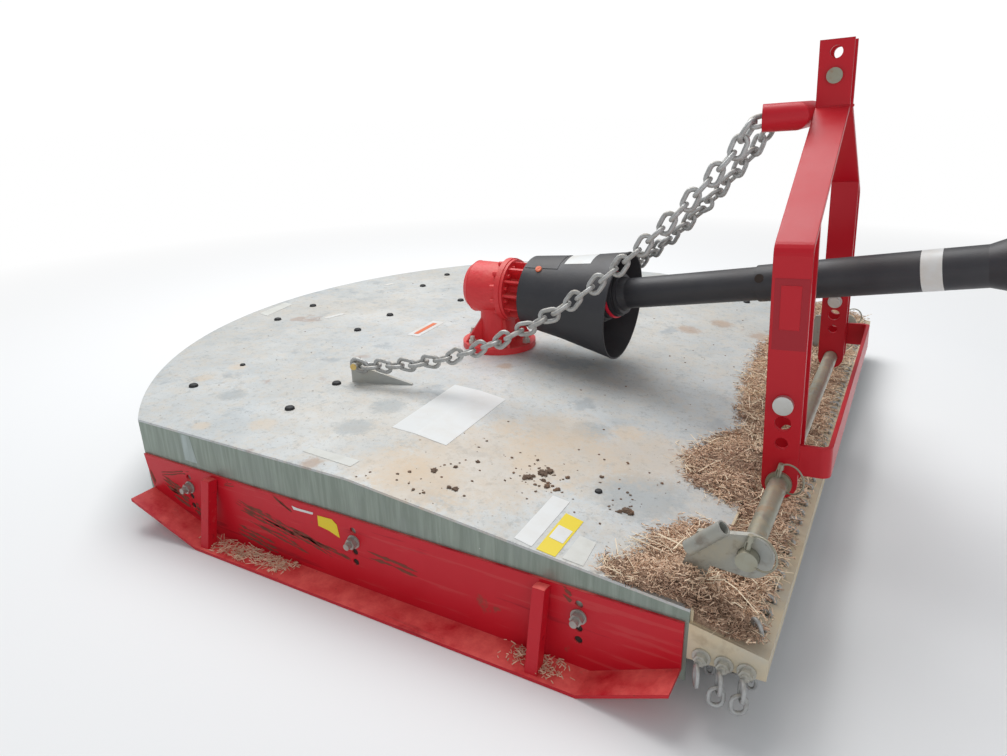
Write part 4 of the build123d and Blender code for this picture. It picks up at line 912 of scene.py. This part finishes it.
# %% The litter mat
litter_edge = [
    (0.742, -1.121), (0.764, -1.070), (0.812, -1.031), (0.812, -0.985), (0.820, -0.933), (0.854, -0.901),
    (0.878, -0.845), (0.909, -0.834), (0.942, -0.846), (0.942, -0.729), (0.902, -0.730), (0.862, -0.714),
    (0.825, -0.695), (0.793, -0.648), (0.772, -0.575), (0.817, -0.447), (0.864, -0.309), (0.815, -0.147),
    (0.793, 0.068), (0.783, 0.313), (0.784, 0.531), (0.831, 0.637), (0.868, 1.100)]
outline = litter_edge + [(1.045, 1.100), (1.045, -1.112), (0.940, -1.121)]
mat_rear, mat_front, mat_width, mat_middle = 0.762, 1.052, 2.232, -0.002


def inside(x, y, corners):
    """True if a point lies in a polygon."""
    crossings = False
    for index, (x1, y1) in enumerate(corners):
        x2, y2 = corners[index - 1]
        if (y1 > y) != (y2 > y) and x < (x2 - x1) * (y - y1) / (y2 - y1) + x1:
            crossings = not crossings
    return crossings


def edge_distance(x, y, corners):
    """Distance from a point to the nearest side of a polygon."""
    here, nearest = Vector((x, y)), 1.0
    for index, corner in enumerate(corners):
        a, b = Vector(corners[index - 1]), Vector(corner)
        share = max(0.0, min(1.0, (here - a).dot(b - a) / (b - a).length_squared))
        nearest = min(nearest, (here - a - (b - a) * share).length)
    return nearest


def litter_depth(x, y):
    """Thickness of the pile: thin at its edge, lumpy inside, and banked against the deck's front."""
    rough = noise.fractal(Vector((x * 9, y * 9, 2.0)), 1.0, 2.0, 4)
    depth = min(edge_distance(x, y, outline) / 0.07, 1.0) * (0.016 + 0.010 * rough)
    if x > front_x:
        bank = max(0.0, 1 - (x - front_x) / 0.075) * (1 - math.exp(-((y + 0.787) / 0.05) ** 2))
        depth = 0.012 + 0.024 * bank + 0.006 * rough
    heap = math.exp(-((x - 0.922) / 0.050) ** 2 - ((y + 1.083) / 0.028) ** 2)
    return max(depth, 0.001) + 0.046 * heap


def delete_faces(bm, unwanted):
    """Deletes the faces for which a test is true."""
    bmesh.ops.delete(bm, geom=[face for face in bm.faces if unwanted(face)], context="FACES")


def off_the_pile(face):
    """True if a face's middle lies past the edge of the litter."""
    middle = face.calc_center_median()
    return not inside(middle.x - rotor_x, middle.y, outline)


bm = bmesh.new()
half_length = (mat_front - mat_rear) / 2
place = Matrix.Translation(at(mat_rear + half_length, mat_middle, 0))
place = place @ Matrix.Diagonal((half_length, mat_width / 2, 1, 1))
bmesh.ops.create_grid(bm, x_segments=34, y_segments=240, size=1.0, matrix=place)
delete_faces(bm, off_the_pile)
for vert in bm.verts:
    x, y = vert.co.x - rotor_x, vert.co.y
    jitter = 0.004 * noise.noise(Vector((x * 70, y * 70, 0)))
    step = max(0.0, min(1.0, (x - front_x + 0.004) / 0.012))
    surface = deck_z(min(x, front_x)) * (1 - step) + deck_z(max(x, front_x + 0.001)) * step
    vert.co.z = surface + (litter_depth(x, y) if not vert.is_boundary else -0.002) + jitter * 0.5
    vert.co.x += jitter
bmesh.ops.smooth_vert(bm, verts=[v for v in bm.verts if not v.is_boundary], factor=0.3,
                      use_axis_x=True, use_axis_y=True, use_axis_z=True)
piece("litter_mat", bm, "litter", "frame", smooth=180)

# %% [markdown]
# The stalks are made as a few small clumps, and a clump is stamped again and again with a new turn, because
# thousands of single stalks would be slow to place one by one. A stalk is a bar with three sides and no ends,
# which is enough at its width of two millimetres.

# %% Loose stalks
chance = random.Random(7)
full_turn = 2 * math.pi
stalk_limit_y, side_limit, lip_limit = 1.119, 1.126, 1.076
long_stalk = 0.05


def sliver(bm, start, end, radius):
    """One stalk, as a three-sided bar without ends."""
    run = (end - start).normalized()
    side = run.orthogonal().normalized()
    offsets = [Matrix.Rotation(index * full_turn / 3, 3, run) @ side * radius for index in range(3)]
    low, high = zip(*[(bm.verts.new(start + offset), bm.verts.new(end + offset)) for offset in offsets])
    for index in range(3):
        bm.faces.new((low[index - 1], low[index], high[index], high[index - 1]))


def stalk_clump(count, spread, lengths, radius, tilt):
    """A pattern of a few stalks that lie nearly flat in all directions; long ones are bent."""
    bm = bmesh.new()
    for _ in range(count):
        spot = Vector((chance.gauss(0, spread), chance.gauss(0, spread), chance.uniform(0.0, 0.007)))
        heading = chance.uniform(0, full_turn)
        rise = chance.gauss(0, tilt)
        run = Vector((math.cos(heading), math.sin(heading), rise)).normalized() * chance.uniform(*lengths)
        width = radius * chance.uniform(0.6, 1.3)
        if max(lengths) > long_stalk:
            bend = Vector((chance.uniform(-0.15, 0.15), chance.uniform(-0.15, 0.15), 0.04)) * run.length
            sliver(bm, spot - run / 2, spot + bend, width)
            sliver(bm, spot + bend, spot + run / 2, width * 0.8)
        else:
            sliver(bm, spot - run / 2, spot + run / 2, width)
    return pattern_of(bm)


def over_the_side(face):
    """True if a face's middle hangs past the machine's side or the shelf's lip."""
    middle = face.calc_center_median()
    return abs(middle.y) > side_limit or middle.x > rotor_x + lip_limit


def scatter(name, clumps, count, material, corners, margin=0.0, drop=0.0):
    """Stamps clumps inside an outline, and leaves out what would hang over the machine's side."""
    bm = bmesh.new()
    xs, ys = zip(*corners)
    placed = 0
    while placed < count:
        x, y = chance.uniform(min(xs), max(xs)), chance.uniform(min(ys), max(ys))
        if not inside(x, y, corners) or abs(y) > stalk_limit_y - margin:
            continue
        height = deck_z(x) + litter_depth(x, y) - drop
        spin = Matrix.Rotation(chance.uniform(0, full_turn), 4, "Z")
        fit = Matrix.Rotation(math.atan(front_drop / (front_x - knee_x)), 4, "Y") if x < front_x else Matrix()
        stamp(bm, chance.choice(clumps), Matrix.Translation(at(x, y, height)) @ fit @ spin)
        placed += 1
    delete_faces(bm, over_the_side)
    return piece(name, bm, material, "frame", smooth=0)


core = [(x + 0.006, y) for x, y in litter_edge] + [(1.043, 1.095), (1.043, -1.105), (0.940, -1.119)]
corner = [(0.80, -1.12), (0.86, -0.90), (1.043, -0.86), (1.043, -1.105), (0.93, -1.119)]
chaff = [stalk_clump(44, 0.016, (0.005, 0.015), 0.0010, 0.30) for _ in range(8)]
twigs = [stalk_clump(8, 0.022, (0.022, 0.045), 0.0008, 0.20) for _ in range(6)]
stems = [stalk_clump(2, 0.020, (0.060, 0.140), 0.0009, 0.10) for _ in range(8)]
# Besides straw's own mix of tones, the brown chaff lies lowest as painted shade deep in the pile, and the
# pale stalks lie on top as painted highlight.
scatter("shaded_brown_chaff", chaff, 600, "shaded_brown_straw", core, drop=0.003)
scatter("chaff", chaff, 600, "straw", core, drop=0.001)
scatter("lit_pale_chaff", twigs, 380, "lit_pale_straw", core, margin=0.01, drop=0.001)
scatter("corner_chaff", chaff, 110, "straw", corner, drop=0.001)
edge_strip = [(0.79, -1.122), (0.79, -1.102), (1.045, -1.086), (1.045, -1.108), (0.94, -1.122)]
scatter("edge_chaff", chaff, 70, "shaded_brown_straw", edge_strip, drop=0.001)
scatter("long_stalks", stems, 46, "lit_pale_straw", core, margin=0.10)
scatter("corner_stalks", stems, 12, "lit_pale_straw", corner, margin=0.09)

# %% [markdown]
# A few long pale stalks stand out in the picture, so each of these has its own two ends. Some litter has also
# fallen on the foot of the near skid, in two places.

# %% Stalks with a place of their own, and straw on the foot
seen_stalks = [
    ((0.841, -0.997, 0.270), (0.943, -1.007, 0.232)), ((0.950, -1.009, 0.226), (1.050, -1.067, 0.206)),
    ((0.938, -1.021, 0.228), (0.969, -1.076, 0.222)), ((0.942, -0.958, 0.230), (1.032, -0.988, 0.212)),
    ((0.881, -1.029, 0.266), (0.891, -0.971, 0.262)), ((0.931, -0.946, 0.240), (0.956, -1.053, 0.222)),
    ((0.882, -1.014, 0.266), (0.944, -0.975, 0.236)), ((0.989, -1.080, 0.214), (1.024, -1.071, 0.212))]
bm = bmesh.new()
for start, end in seen_stalks:
    middle = (at(*start) + at(*end)) / 2 + Vector((0.003, 0.004, 0.006))
    sliver(bm, at(*start), middle, 0.0015)
    sliver(bm, middle, at(*end), 0.0012)
piece("seen_stalks", bm, "lit_pale_straw", "frame", smooth=0)

foot_middle, foot_edge, foot_wall, foot_top = -1.158, -1.202, -1.134, 0.004


def off_the_foot(face):
    """True if a face reaches past the foot's edge or into the skid, or lies in the sole."""
    ys = [vert.co.y for vert in face.verts]
    return min(ys) < foot_edge or max(ys) > foot_wall or face.calc_center_median().z < foot_top


bm = bmesh.new()
for low_x, high_x, count, clumps in ((-0.33, -0.10, 22, twigs), (-0.26, -0.02, 10, chaff),
                                     (0.58, 0.72, 5, chaff)):
    for _ in range(count):
        spot = at(chance.uniform(low_x, high_x), chance.gauss(foot_middle, 0.012), 0.010)
        spin = Matrix.Rotation(chance.uniform(0, 6.28), 4, "Z")
        stamp(bm, chance.choice(clumps), Matrix.Translation(spot) @ spin)
delete_faces(bm, off_the_foot)
piece("straw_on_shoe", bm, "straw", "frame", smooth=0)

# %% [markdown]
# ## Mud clods and bits on the deck
# Dried lumps of mud lie on the middle of the deck, with crumbs round them. An icosphere pushed in and out by
# noise makes a lump that never looks round. The lumps are flat below, because they dried where they lie.

# %% Clods
clod_places = [  # x, y and size in millimetres
    (0.518, -0.847, 12), (0.522, -0.864, 10), (0.503, -0.893, 10), (0.497, -0.904, 8), (0.509, -0.880, 6),
    (0.536, -0.885, 6), (0.549, -0.892, 7), (0.561, -0.899, 7), (0.576, -0.904, 7), (0.522, -0.828, 5),
    (0.263, -1.027, 5), (0.304, -0.989, 8), (0.340, -0.942, 6), (0.373, -0.905, 6), (0.424, -0.832, 5),
    (0.336, -0.794, 4), (0.378, -1.023, 8), (0.317, -1.080, 5), (0.331, -1.084, 3), (0.340, -1.076, 5),
    (0.462, -0.890, 4), (0.463, -0.932, 4), (0.524, -0.916, 5), (0.481, -0.808, 5), (0.484, -0.828, 3),
    (0.641, -0.788, 6), (0.718, -0.820, 5), (0.729, -0.833, 4), (0.746, -0.896, 11), (0.732, -0.903, 8),
    (0.722, -0.903, 5), (0.575, -0.838, 6), (0.671, -0.701, 4), (0.771, -0.740, 5), (0.194, -1.093, 3)]
twin_size = 6
bit_count = 130


def lump(bm, x, y, size, seed, rise=0.0):
    """A noisy lump on the deck, flattened below."""
    made = bmesh.ops.create_icosphere(bm, subdivisions=3 if size > 0.005 else 1, radius=size)
    for vert in made["verts"]:
        rough = noise.fractal(vert.co * (1.7 / size) + Vector((seed, 0, 0)), 0.8, 2.2, 5)
        vert.co *= 1 + 0.60 * rough
        vert.co.z = max(vert.co.z * 0.50, -size * 0.12)
    bmesh.ops.translate(bm, vec=at(x, y, deck_z(x) + rise), verts=made["verts"])


bm = bmesh.new()
for index, (x, y, millimetres) in enumerate(clod_places):
    size = millimetres / 1000
    for crumb in range(2 if millimetres > twin_size else 1):
        dx, dy = chance.gauss(0, 0.6) * size, chance.gauss(0, 0.6) * size
        lump(bm, x + dx, y + dy, size * (0.85 - 0.15 * crumb), index + crumb * 5, rise=0.001)
    for crumb in range(3):
        dx, dy = chance.gauss(0, 0.03), chance.gauss(0, 0.03)
        lump(bm, x + dx, y + dy, chance.uniform(0.0012, 0.004), index + crumb * 7)
for _ in range(bit_count):
    x, y = chance.uniform(-0.9, 0.75), chance.uniform(-1.0, 0.95)
    if math.hypot(x - 0.274, y) < 1.3 and math.hypot(x, y - rotor_y) > 0.2:
        lump(bm, x, y, chance.uniform(0.0012, 0.0035), x)
piece("mud_clods", bm, "clod", "frame", smooth=40)

# %% [markdown]
# ## Gearbox fasteners
# The barrel has bosses round its rim, and bolts through the cover clamp it on. They were painted with the
# casting, so they are red. A thin bead goes round the barrel's back end. Studs with nuts hold the foot and
# are plain solids already.

# %% Rim bolts and beads on the gearbox
flange_back, flange_front = 0.040, 0.058
boss_circle, boss_radius, boss_length = 0.0895, 0.0085, 0.019
bolt_circle, bolt_radius, cover_thickness, bolt_top = 0.0800, 0.0062, 0.009, 0.019
bead_back, bead_circle = 0.074, 0.0848
barrel_middle = at(0, rotor_y, gearbox_z)
forward_x = Vector((1, 0, 0))
bm = bmesh.new()
for index in range(12):
    angle = math.radians(15 + index * 30)
    outward = Vector((0, math.cos(angle), math.sin(angle)))
    boss = barrel_middle + outward * boss_circle
    boss_end = boss + forward_x * flange_back
    rod(bm, boss_end - forward_x * boss_length, boss_end, boss_radius, 12, 0.0100)
    bolt = barrel_middle + outward * bolt_circle + forward_x * flange_front
    rod(bm, bolt + forward_x * cover_thickness, bolt + forward_x * bolt_top, bolt_radius, 6)
ring(bm, facing(forward_x, barrel_middle - forward_x * bead_back), bead_circle, 0.0012, 64, 8)
piece("gearbox_rim_bolts", bm, "red_casting", "frame", smooth=35)

# %% [markdown]
# ## Guard details
# The black guard has a flap that opens for greasing, held by an orange slotted fastener, and a thin rolled
# lip at its mouth. The flap is a curved patch: a short line swept round the shaft's axis, then thickened.
# Sweeping keeps it concentric with the guard. The whole guard tips down a little, so each piece is turned
# with it.

# %% Flap, fastener and lip
guard_rear_x, guard_bend_x = 0.131, 0.260
guard_rear = at(guard_rear_x, rotor_y, gearbox_z)
guard_tip = Matrix.Rotation(math.radians(2.6), 4, "Y")
guard_turn = Matrix.Translation(guard_rear) @ guard_tip @ Matrix.Translation(-guard_rear)


def guard_radius(x):
    """Outer radius of the guard, which widens slowly at first and then faster."""
    if x < guard_bend_x:
        return 0.115 + 0.017 * (x - guard_rear_x) / 0.129
    return 0.132 + 0.0335 * (x - guard_bend_x) / 0.183


def guard_outward(degrees):
    """The direction away from the guard's axis, with the angle counted up from the camera's side."""
    return Vector((0, -math.cos(math.radians(degrees)), math.sin(math.radians(degrees))))


def guard_piece(name, bm, material, smooth):
    """Tips a piece with the guard and makes it."""
    bmesh.ops.transform(bm, matrix=guard_turn, verts=bm.verts)
    piece(name, bm, material, "frame", smooth=smooth)


def curved_patch(x_low, x_high, angle_low, angle_high, lift, thickness, steps=14):
    """A patch that follows the guard."""
    bm = bmesh.new()
    start = barrel_middle + guard_outward(angle_low)
    verts = [bm.verts.new(start + Vector((x, 0, 0))) for x in (x_low, x_high)]
    edge = bm.edges.new(verts)
    bmesh.ops.spin(bm, geom=verts + [edge], cent=barrel_middle, axis=(-1, 0, 0), steps=steps,
                   use_duplicate=False, angle=math.radians(angle_high - angle_low))
    for vert in bm.verts:
        reach = guard_radius(vert.co.x - rotor_x) + lift
        vert.co.y = rotor_y + (vert.co.y - rotor_y) * reach
        vert.co.z = gearbox_z + (vert.co.z - gearbox_z) * reach
    bmesh.ops.recalc_face_normals(bm, faces=bm.faces)
    bmesh.ops.solidify(bm, geom=list(bm.faces), thickness=thickness)
    return bm


guard_piece("guard_flap", curved_patch(0.134, 0.250, 54, 120, 0.0014, 0.0026), "black_plastic", 40)
guard_piece("guard_label", curved_patch(0.264, 0.352, 64, 96, 0.0006, 0.0006), "white_label", 40)

bm = bmesh.new()
outward = guard_outward(52)
seat = at(0.186, rotor_y, gearbox_z) + outward * (guard_radius(0.186) - 0.001)
rod(bm, seat, seat + outward * 0.006, 0.0105, 24, 0.0095)
slot_bar = facing(outward, seat + outward * 0.0062) @ Matrix.Rotation(math.radians(50), 4, "Z")
block(bm, slot_bar, (0.016, 0.0022, 0.0016))
guard_piece("guard_fastener", bm, "orange_plastic", 35)

bm = bmesh.new()
ring(bm, facing(forward_x, at(0.4405, rotor_y, gearbox_z)), 0.1635, 0.0028, 72, 8)
guard_piece("guard_lip", bm, "black_plastic", 60)

# %% [markdown]
# ## The drive shaft's guard cone
# The plastic tube ends in a ribbed cone inside the big guard. Rings of shrinking size along the shaft give
# the ribs, two discs close the cone, and a red locking ring sits before them. All of it stays still with the
# guard tubes while the shaft turns inside. The tube has a round hole on the side of the camera, drawn as a
# dark disc a hair above the tube, as painted shade for the hole's dark inside. A bare label is wrapped round
# its front.

# %% Ribbed cone, and the tube's hole and label
cone_start, rib_step, rib_count = 0.078, 0.015, 5
hole_along, hole_out, hole_rise = 0.572, 0.0490, 0.0006
bm = bmesh.new()
for index in range(rib_count):
    share = index / (rib_count - 1)
    spot = along_drive(cone_start + rib_step * index)
    ring(bm, facing(drive_run, spot), 0.078 - 0.022 * share, 0.0050, 48, 8)
for start, end, near_radius, far_radius in ((0.131, 0.140, 0.069, 0.067), (0.147, 0.154, 0.063, 0.061)):
    rod(bm, along_drive(start), along_drive(end), near_radius, 48, far_radius)
piece("guard_cone_ribs", bm, "black_plastic", "frame", smooth=60)
bm = bmesh.new()
rod(bm, along_drive(0.119), along_drive(0.126), 0.0725, 48)
piece("guard_cone_ring", bm, "locking_ring", "frame", smooth=40)

toward = (camera.matrix_world.translation - along_drive(hole_along)).normalized()
toward = (toward - drive_run * toward.dot(drive_run)).normalized()
toward = (toward + Vector((0, 0, 0.3))).normalized()
spot = along_drive(hole_along) + toward * (hole_out + hole_rise)
# Painted shade: a dark disc stands for the tube's hole.
bm = bmesh.new()
bmesh.ops.create_circle(bm, cap_ends=True, radius=0.0120, segments=24, matrix=facing(toward, spot))
piece("tube_hole_shade_disc", bm, "hole", "frame", smooth=0)
bm = bmesh.new()
rod(bm, along_drive(0.943), along_drive(0.987), 0.0494, 64)
piece("tube_label", bm, "white_label", "frame", smooth=40)

# %% [markdown]
# ## Lynch pins
# A lynch pin is a short pin through a shaft's end with a spring ring that snaps over it. There is one in each
# end of the cross shaft and one beside the washer of each leg. A rod with a rounded head and a ring of thin
# wire make it.

# %% Lynch pins
pin_length, pin_depth, pin_ring = 0.030, 0.012, 0.031
end_distance, leg_distance = 0.009, 0.4875


def lynch_pin(bm, seat, up, swing):
    """A pin through a shaft: up is its direction and swing the way its ring falls."""
    up, swing = Vector(up).normalized(), Vector(swing).normalized()
    rod(bm, seat - up * pin_depth, seat + up * (pin_length - pin_depth), 0.0042, 16)
    head = seat + up * (pin_length - 0.010)
    rod(bm, head - up * 0.008, head + up * 0.004, 0.0065, 16, 0.0055)
    hanging = head + swing * pin_ring * 0.95 - up * 0.003
    ring(bm, facing(up.cross(swing).normalized(), hanging), pin_ring, 0.0019, 40, 8)


bm = bmesh.new()
shaft_low, shaft_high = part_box("cross_shaft")
shaft_top = Vector(((shaft_low.x + shaft_high.x) / 2, 0, shaft_high.z))
hitch_y = (shaft_low.y + shaft_high.y) / 2
for y, side in ((shaft_low.y + end_distance, -1), (hitch_y - leg_distance, -1), (hitch_y + leg_distance, 1),
                (shaft_high.y - end_distance, 1)):
    lynch_pin(bm, shaft_top + Vector((0, y, 0)), (0.1, side * 0.02, 1), (0.76, side * 0.36, -0.72))
piece("lynch_pins", bm, "zinc", "frame", smooth=50)

# %% [markdown]
# ## Chain ends
# A link is welded to each rod's end outside its washer, so that the rod can't slide out of the shelf. From
# two of them another link hangs, a quarter turned. One more link stands in the shelf's near corner, half
# buried. The pin that holds the near stay to its lug has a round head of yellow zinc.

# %% Links on the rod ends, and the lug pin's head
hanging_link = oval_link(0.030, 0.034, 0.0085, sides=8, steps=6)
rod_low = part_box("chain_rods")[0]
bm = bmesh.new()
for index, x in enumerate((0.971, 1.011, 1.050)):
    for count in range(2 if index else 1):
        drop = 0.018 + 0.030 * count
        spin = Matrix.Rotation(math.radians(24 + 84 * count), 4, "Z")
        place = at(x - 0.003 * count, rod_low.y - 0.011, 0.127 - drop)
        stamp(bm, hanging_link, Matrix.Translation(place) @ spin @ end_up)
piece("rod_end_links", bm, "chain_steel", "frame", smooth=60)

bm = bmesh.new()
leaning = Matrix.Rotation(math.radians(45), 4, "Z") @ Matrix.Rotation(math.radians(80), 4, "Y")
stamp(bm, hanging_link, Matrix.Translation(at(1.053, -1.084, 0.188)) @ leaning)
piece("corner_loop", bm, "chain_steel", "frame", smooth=60)

bm = bmesh.new()
pin_turn = math.radians(16)
pin_run = Vector((math.sin(pin_turn), -math.cos(pin_turn), 0))
pin_end = at(-0.1984, -0.6526, 0.347) + pin_run * 0.0165
rod(bm, pin_end, pin_end + pin_run * 0.0030, 0.0095, 24)
piece("lug_pin_cap", bm, "gold_zinc", "frame", smooth=35)

# %% [markdown]
# ## Marks on the headstock
# The headstock leans back a little, so its marks are placed from the cross shaft and turned with it. A
# sticker has been peeled from the near leg and left a darker oblong, and a weld bead crosses each leg at its
# upper bend.

# %% Weld beads and the peeled sticker
lean = Matrix.Translation(at(1.023, hitch_y, 0.321)) @ Matrix.Rotation(math.radians(-3.0), 4, "Y")
leg_face = 0.475
weld_y, weld_z, weld_start = 0.0402, 0.7185, -0.032
bm = bmesh.new()
for side in (-1, 1):
    for step in range(12):
        x = weld_start + step * 0.0058
        ends = [lean @ Vector((x + length, side * weld_y, weld_z)) for length in (0.0, 0.0052)]
        rod(bm, *ends, 0.0028, 10)
piece("leg_welds", bm, "red_paint", "headstock", smooth=60)

leg_plates = [("peeled_sticker", (-0.029, 0.285), (0.033, 0.425), "dull_red", 0.0003),
              ("peeled_middle", (-0.018, 0.325), (0.020, 0.412), "red_paint", 0.0007)]
for name, low, high, material, gap in leg_plates:
    bm = bmesh.new()
    corners = [(low[0], low[1]), (high[0], low[1]), (high[0], high[1]), (low[0], high[1])]
    bm.faces.new([bm.verts.new(lean @ Vector((x, -leg_face - gap, z))) for x, z in corners])
    thin_plate(name, bm, material, (0, -1, 0), "headstock", 0.0003)

# %% [markdown]
# ## Floor and light
# A pale floor takes the shadow, and fades to white far out, so that its edge doesn't show. The light is soft
# and comes mostly from above, as under a bright overcast sky: one large lamp overhead, a weaker one from the
# front, and an even white world. The backdrop is white only to the camera and through clear things, so it
# adds no light of its own.

# %% Floor, world and lamps
floor_grey, white = (0.86, 0.86, 0.86), (1, 1, 1, 1)
fade_start, fade_end = 2.0, 5.0
sky_tint, sky_strength, backdrop_strength = (0.90, 0.95, 1.0, 1), 0.40, 0.62
bm = bmesh.new()
bmesh.ops.create_circle(bm, cap_ends=True, radius=60.0, segments=64)
floor_mesh = bpy.data.meshes.new("floor")
bm.to_mesh(floor_mesh)
bm.free()
floor = bpy.data.objects.new("floor", floor_mesh)
bpy.context.scene.collection.objects.link(floor)
floor_finish = finish("floor", floor_grey, 0.9, gloss=0.0)
tree = floor_finish.node_tree
glow = ramp(tree, vector_math(tree, "LENGTH", object_place(tree))["Value"], fade_start, fade_end)
fade = add_node(tree, "ShaderNodeMix", {0: glow, 6: (*floor_grey, 1), 7: (0, 0, 0, 1)}, data_type="RGBA")
glowing = {"Base Color": fade.outputs[2], "Emission Color": white, "Emission Strength": glow}
for socket, value in glowing.items():
    feed(tree, tree.nodes["Principled BSDF"].inputs[socket], value)
floor_mesh.materials.append(floor_finish)

world = bpy.data.worlds.new("studio")
bpy.context.scene.world = world
world.use_nodes = True
sky = world.node_tree
seen_by = add_node(sky, "ShaderNodeLightPath").outputs
direct = arithmetic(sky, "MAXIMUM", seen_by["Is Camera Ray"], seen_by["Is Transmission Ray"])
tint = add_node(sky, "ShaderNodeMix", {0: direct, 6: sky_tint, 7: white}, data_type="RGBA")
strength = arithmetic(sky, "ADD", arithmetic(sky, "MULTIPLY", direct, backdrop_strength), sky_strength)
for socket, value in {"Color": tint.outputs[2], "Strength": strength}.items():
    feed(sky, sky.nodes["Background"].inputs[socket], value)

lamps = {"overhead": ((-1.6, 1.2, 5.0), (0, 0, 0.3), 4.0, 270),
         "front_fill": ((3.0, -4.5, 2.6), (0, 0, 0.4), 3.0, 40)}
for name, (place, aim, size, power) in lamps.items():
    data = bpy.data.lights.new(name, "AREA")
    data.shape = "SQUARE"
    data.size, data.energy = size, power
    lamp = bpy.data.objects.new(name, data)
    lamp.matrix_world = facing(Vector(place) - Vector(aim), place)
    bpy.context.scene.collection.objects.link(lamp)
bpy.context.scene.view_settings.view_transform = "Standard"
print("floor, world and", len(lamps), "lamps")
